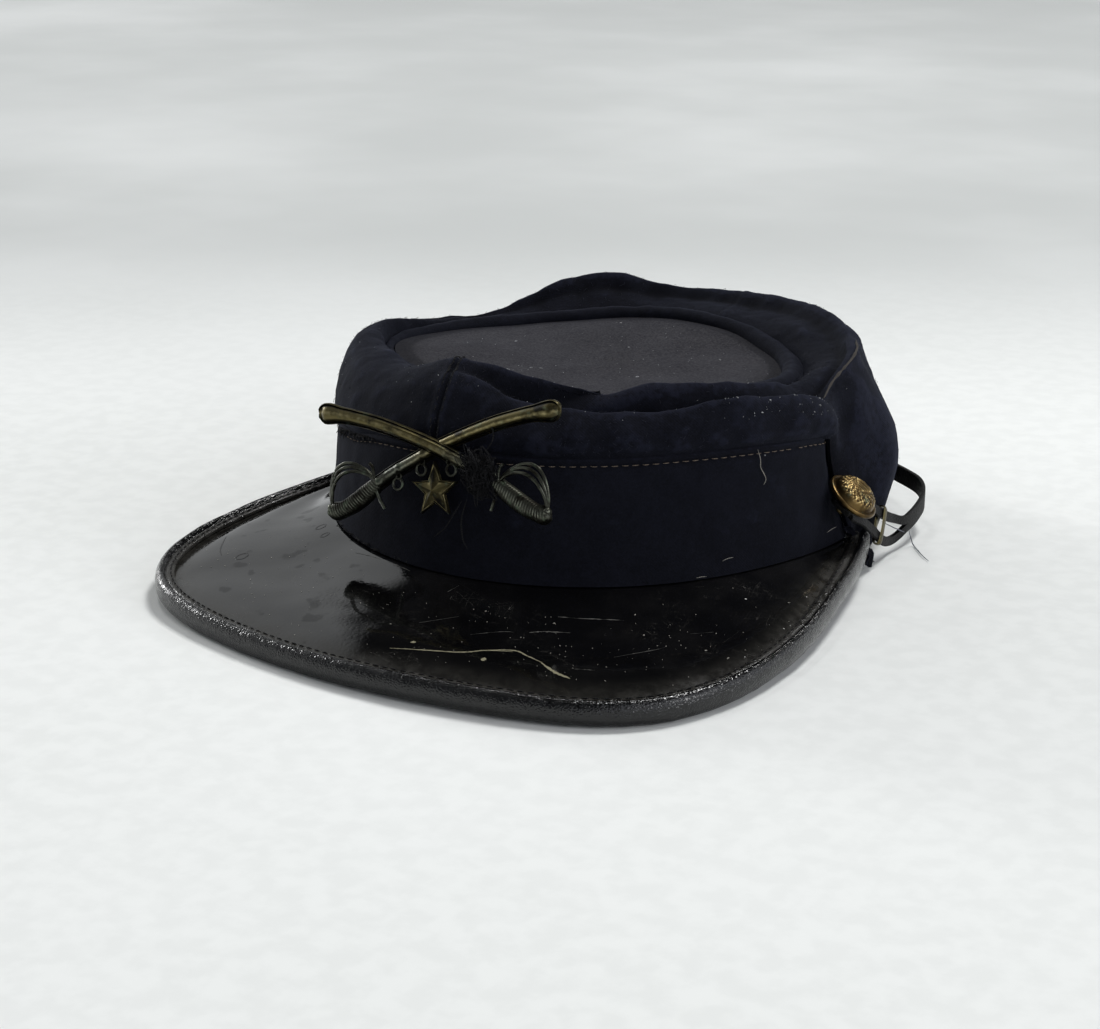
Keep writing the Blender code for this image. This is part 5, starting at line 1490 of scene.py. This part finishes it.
# %% The worn seam
SEAM_STEPS = 60
spot, out_of = crown_spot(np.linspace(84.5, 121.0, SEAM_STEPS), np.full(SEAM_STEPS, 2.05))
window = np.ones(7) / 7
cord_path = np.stack([np.convolve(np.pad(spot[:, k], 3, mode="edge"), window, "valid") for k in range(3)], -1)
cord_width = (0.36 + 0.16 * ripple(cord_path, 3.0, 91))[None] * tapered(SEAM_STEPS)
piece("worn_seam_edge", tubes((cord_path + out_of * 0.15)[None], cord_width, 8), WORN_SEAM)

# %% The fuzz


def fuzz(points, normal, count, low, high, seed):
    """Fibres on a grid: each starts at a grid point and leans along the cloth as much as it stands up."""
    draw = np.random.default_rng(seed)
    i, j = draw.integers(0, points.shape[0], count), draw.integers(0, points.shape[1], count)
    base, out = points[i, j], normal[i, j]
    lean = draw.normal(0, 0.8, (count, 3))
    lean -= (lean * out).sum(-1, keepdims=True) * out
    size = draw.uniform(low, high, (count, 1))
    t = np.linspace(0, 1, 4)[None, :, None]
    way = base[:, None] + (out * size)[:, None] * np.sin(2.2 * t) * 0.55 + (lean * size)[:, None] * t
    return tubes(way, 0.045, 3)


crown_out = normals(outer, around=True)
shown = slice(int(0.3 * SPAN_STEPS), 5 * SPAN_STEPS)
piece("wool_fuzz", fuzz(outer[:, shown], crown_out[:, shown], 2400, 0.3, 0.9, 92), FUZZ)

# %% Dust and lint


def flecks(spots, out, low, high, seed):
    """Flakes of dust: very short tubes lying on the surface."""
    draw = np.random.default_rng(seed)
    n = len(spots)
    out = np.broadcast_to(out, spots.shape)
    side_way = draw.normal(0, 1, (n, 3))
    side_way = unit(side_way - (side_way * out).sum(-1, keepdims=True) * out)
    size = draw.uniform(low, high, (n, 1))
    t = np.linspace(-1, 1, 3)[None, :, None]
    line = spots[:, None] + (out * 0.12)[:, None] + (side_way * size)[:, None] * t
    return tubes(line, (size * 0.55) * np.array([[0.5, 1.0, 0.5]]), 4)


UP, DISC_SPECKS = np.array([0.0, 0.0, 1.0]), 90
DISC_LINT = rows_of("-10.2 38.9 / 10.6 10.3 / 19.3 42.8 / -43.3 26.7 / -16.9 1.5 / -23.6 -5.7 / -19.7 0.4")
draw = np.random.default_rng(93)
far_out = np.sqrt(draw.uniform(0, 1, DISC_SPECKS))[:, None] * 50
scattered = np.array(HEAD_CENTRE) + far_out * unit(draw.normal(size=(DISC_SPECKS, 2)))
top_tree = BVHTree.FromObject(top_piece, bpy.context.evaluated_depsgraph_get())


def dropped(xy, tree, lift=0.0):
    """Points straight above or below given places, on a surface or lifted off it."""
    hits = [tree.ray_cast(Vector((x * MM, y * MM, 0.2)), Vector((0, 0, -1)))[0] for x, y in xy.reshape(-1, 2)]
    high = np.array([h.z / MM if h else 5.0 for h in hits]) + lift
    return np.concatenate([xy.reshape(-1, 2), high[:, None]], 1).reshape(*xy.shape[:-1], 3)


FOLD_LINT = rows_of("""
    54.6 2.1 / 55.4 1.9 / 60.9 1.4 / 58.4 1.4 / 80.1 1.9 / 75.3 1.3 / -6.1 2.3 / -60.9 2.6
    57.5 2.2 / 52.8 2 / 63 1.8 / 70 1.9 / 78 1.5
""")  # azimuth and place on the crown's profile
on_left = np.stack([draw.uniform(50, 84, 40), draw.uniform(1.2, 2.2, 40)], -1)
all_round = np.stack([draw.uniform(-80, 100, 60), draw.uniform(1.0, 4.5, 60)], -1)
lint = flecks(dropped(DISC_LINT, top_tree), UP, 0.3, 0.5, 94)
lint += flecks(dropped(scattered, top_tree), UP, 0.07, 0.16, 95)
lint += flecks(*crown_spot(*FOLD_LINT.T), 0.2, 0.36, 96)
lint += flecks(*crown_spot(*np.concatenate([on_left, all_round]).T), 0.07, 0.16, 97)
piece("pale_lint", lint, LINT)

# %% [markdown]
# ## Scratches and stains on the peak
# The long scratches have gone through the lacquer to the tan leather. Each is a thin ribbon dropped
# on the peak's surface by a ray straight down, because a painted line would need a much finer grid.

# %% Ribbons on the peak
SCRATCH_LIFT, SCRATCH_THICK = 0.05, 0.12


def ribbon(route, width, seed, closed=False, broken=False):
    """A thin ribbon with uneven edges along a route of (x, y), tapered unless it is closed. A broken one
    fades to nothing in places."""
    draw = np.random.default_rng(seed)
    line = route if closed else through(route[None], 12)[0]
    ahead = steps(line, 0, closed)
    square = unit(np.stack([-ahead[:, 1], ahead[:, 0]], -1))
    taper = 1.0 if closed else np.sin(np.linspace(0.05, pi - 0.05, len(line)))[:, None] ** 0.5
    jitter = draw.uniform(0.45, 1.3, (len(line), 2))
    if broken:
        shown = smoothstep(-0.5, 0.5, ripple(line @ np.eye(2, 3), 3.0, seed))
        jitter = draw.uniform(0.1, 1.2, (len(line), 2)) * shown[:, None]
    half_wide = width / 2 * taper * jitter
    v = np.array([-1.0, -0.4, 0.4, 1.0])
    size = np.where(v[None] < 0, half_wide[:, :1], half_wide[:, 1:])
    xy = line[:, None] + square[:, None] * (size * v[None])[..., None]
    top = dropped(xy, peak_tree, SCRATCH_LIFT)
    return part(np.concatenate([top, (top - SCRATCH_THICK * UP)[:, ::-1]], 1), around=closed, across=True,
                caps=not closed, reach=1)


def scratches(first_seed, broken, routes):
    """Ribbons from rows of a width and a route, with seeds that count up."""
    return [ribbon(rows_of(route), width, first_seed + n, broken=broken)
            for n, (width, route) in enumerate(routes)]


piece("deep_scratches", scratches(1, False, (
    (0.38, "8.7 -105 / 17.6 -102.3 / 26.8 -99 / 32 -95.4 / 38.3 -92.6"),
    (0.4, "31 -95.9 / 38.3 -92 / 42.9 -92.4 / 47.9 -93.1"),
    (0.85, "47.5 -93.2 / 52.7 -94.8 / 57.2 -94.9"),
    (1.3, "33.2 -99.3 / 34.4 -98.6"),
    (0.9, "12.2 -100.9 / 13.4 -100.2"),
)), SCUFFED)
piece("dull_scratches", scratches(11, True, (
    (0.48, "-31.3 -68.6 / -26 -69.3 / -21 -70.3"),
    (0.32, "-18.6 -70.6 / -14 -71.8 / -9 -73"),
    (0.32, "6.6 -77.2 / 7.9 -73.8"),
    (0.28, "8.5 -92.3 / 12 -89 / 16.1 -85.1"),
    (0.56, "38.6 -72.4 / 44.3 -69.4 / 53.2 -63.4"),
    (0.8, "36.6 -82.6 / 39.8 -80 / 45.5 -77"),
    (0.28, "61.2 -80.8 / 67 -72 / 68.7 -68.4"),
    (0.32, "56 -91 / 60.6 -88.6"),
    (0.28, "70 -58 / 74 -53"),
    (0.24, "24 -91 / 30 -86 / 33 -84.5"),
)), CHAFED)

# %% Stains and dust on the peak
ring_at = np.linspace(0, 2 * pi, 26, endpoint=False)
STAINS = ((-63.9, -78.8, 1.5), (-54.3, -55.5, 1.2), (-48.8, -60.4, 1.0))
marks = []
for n, (x, y, size) in enumerate(STAINS):
    ring = np.stack([x + size * np.cos(ring_at), y + 1.35 * size * np.sin(ring_at)], -1)
    marks.append(ribbon(ring, 0.5, 30 + n, closed=True))
marks.append(ribbon(rows_of("-80.2 -67 / -77.5 -71.5 / -74 -76.6 / -70.5 -80"), 0.5, 40))
piece("ring_stains", marks, STAINED)
PEAK_DUST = rows_of("""
    39.5 -75.6 / 61.3 -66.7 / 65.6 -47.9 / 75.1 -32.8 / 80 -23.5 / 65.5 -28.3 / 84.2 -54.5
    83.1 -61.3 / 77.4 -62.7 / 65.2 -91.1 / 68.7 -68 / 56.8 -50 / 54 -59.3 / 74.9 -53.3 / 21 -80
    2 -96 / 47 -84
""")
DUST_SPECKS = 260
dust_at, dust_r = np.radians(draw.uniform(-40, 75, DUST_SPECKS)), draw.uniform(98, 128, DUST_SPECKS)
cloud = np.stack([PEAK_CENTRE[0] + dust_r * np.sin(dust_at), PEAK_CENTRE[1] - dust_r * np.cos(dust_at)], -1)
for label, spots, low, high in (("a", PEAK_DUST, 0.18, 0.34), ("b", cloud, 0.06, 0.16)):
    spots = dropped(spots, peak_tree)
    spots = spots[spots[:, 2] > 5.2]
    piece("peak_dust_" + label, flecks(spots, UP, low, high, 98), PALE_THREAD)

# %% [markdown]
# ## The table and the light
# The cap lies on a pale cloth under soft lamps from behind, from both sides and from above, in a room
# that is paler behind than in front. The lacquer mirrors the room, so its tone matters as the lamps do.

# %% The floor
HALF_WIDE = 9.0  # metres
floor_corners = [(x * HALF_WIDE, y * HALF_WIDE, 0) for x, y in ((-1, -1), (1, -1), (1, 1), (-1, 1))]
floor_mesh = bpy.data.meshes.new("floor")
floor_mesh.from_pydata(floor_corners, [], [(0, 1, 2, 3)])
floor = bpy.data.objects.new("floor", floor_mesh)
bpy.context.scene.collection.objects.link(floor)
cover, shader = start("pale table cloth", 0.9, specular=0.1)
here = put("TexCoord").outputs["Object"]
behind = along_way(here, (-sin(VIEW_AZIMUTH), cos(VIEW_AZIMUTH), 0.0))
folds = put("TexNoise", {"Vector": here, "Scale": 4.0, "Detail": 4.0}).outputs["Fac"]
pile = put("TexNoise", {"Vector": here, "Scale": 140.0, "Detail": 4.0}).outputs["Fac"]
cloth = mixed(ramped(pile, 0.35, 0.65), (0.76, 0.775, 0.755), (0.80, 0.815, 0.795))
# Painted shade: the cloth is painted darker further behind the cap, with an edge made uneven by the broad
# noise.
shade_behind = maths("ADD", behind, times(folds, 0.10))
cloth = mixed(ramped(shade_behind, 0.16, 0.50), cloth, (0.50, 0.515, 0.505))
join(mixed(ramped(folds, 0.35, 0.8, 0.0, 0.3), cloth, (0.88, 0.89, 0.88)), shader["Base Color"])
floor_mesh.materials.append(cover)
floor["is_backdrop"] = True

# %% The room, by direction
room = bpy.data.worlds.new("room")
bpy.context.scene.world = room
room.use_nodes = True
Bench.tree = room.node_tree
way = put("TexCoord").outputs["Generated"]
front = along_way(way, (0.30, -0.95, 0.0))
sector = along_way(way, (0.7825, 0.4144, 0.4647))
corner = along_way(way, (-0.714, 0.643, 0.276))
rightward, _, up_high = split(way)
# Pale behind and dim in front.
colour = mixed(ramped(front, -0.05, 0.75), (0.86, 0.88, 0.89), (0.17, 0.18, 0.20))
# A little darker in one corner low down, bright on the wearer's left, and dim overhead.
colour = mixed(ramped(corner, 0.963, 0.99, 0.0, 0.34), colour, (0.0, 0.0, 0.0))
colour = mixed(ramped(rightward, 0.25, 0.85), colour, (1.40, 1.44, 1.56))
colour = mixed(ramped(up_high, 0.62, 0.85), colour, (0.22, 0.225, 0.23))
# A dark stretch above the horizon, which gives the lacquer the edge between its pale and its black.
shade = times(ramped(sector, -0.015, 0.03), ramped(up_high, 0.10, 0.28))
shade = times(shade, ramped(rightward, 0.25, 0.85, 1.0, 0.0))
colour = mixed(shade, colour, (0.02, 0.02, 0.021))
background = Bench.tree.nodes["Background"].inputs
join(colour, background["Color"])
background["Strength"].default_value = 0.9

# %% The lamps
LAMP_AWAY = 2.6  # metres from the cap


def lamp(name, toward, size, watts, tall=None):
    """A soft lamp aimed at the cap from one direction, square unless it is given a height."""
    place = Vector(toward).normalized() * LAMP_AWAY
    light = bpy.data.objects.new(name, bpy.data.lights.new(name, "AREA"))
    light.data.shape, light.data.size, light.data.size_y = "RECTANGLE", size, tall or size
    light.data.energy = watts
    light.location = place
    light.rotation_mode = "QUATERNION"
    light.rotation_quaternion = (Vector((0, 0, 0.02)) - place).to_track_quat("-Z", "Y")
    bpy.context.scene.collection.objects.link(light)


lamp("lamp_behind", (0.10, 0.44, 0.89), 0.65, 42.0)
lamp("window_left_of_view", (-0.955, 0.13, 0.268), 0.4, 23.0, 0.9)
lamp("lamp_right", (0.93, 0.05, 0.32), 0.9, 12.0, 0.6)
lamp("lamp_high", (-0.35, 0.12, 0.93), 0.3, 5.0)
lamp("lamp_front_high", (0.12, -0.31, 0.94), 0.25, 3.5)
bpy.context.scene.view_settings.view_transform = "Standard"
print("room and lamp set")

# %% Sizes, and the end
low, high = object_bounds()
print("dressed box", [round(v, 4) for v in low], [round(v, 4) for v in high])
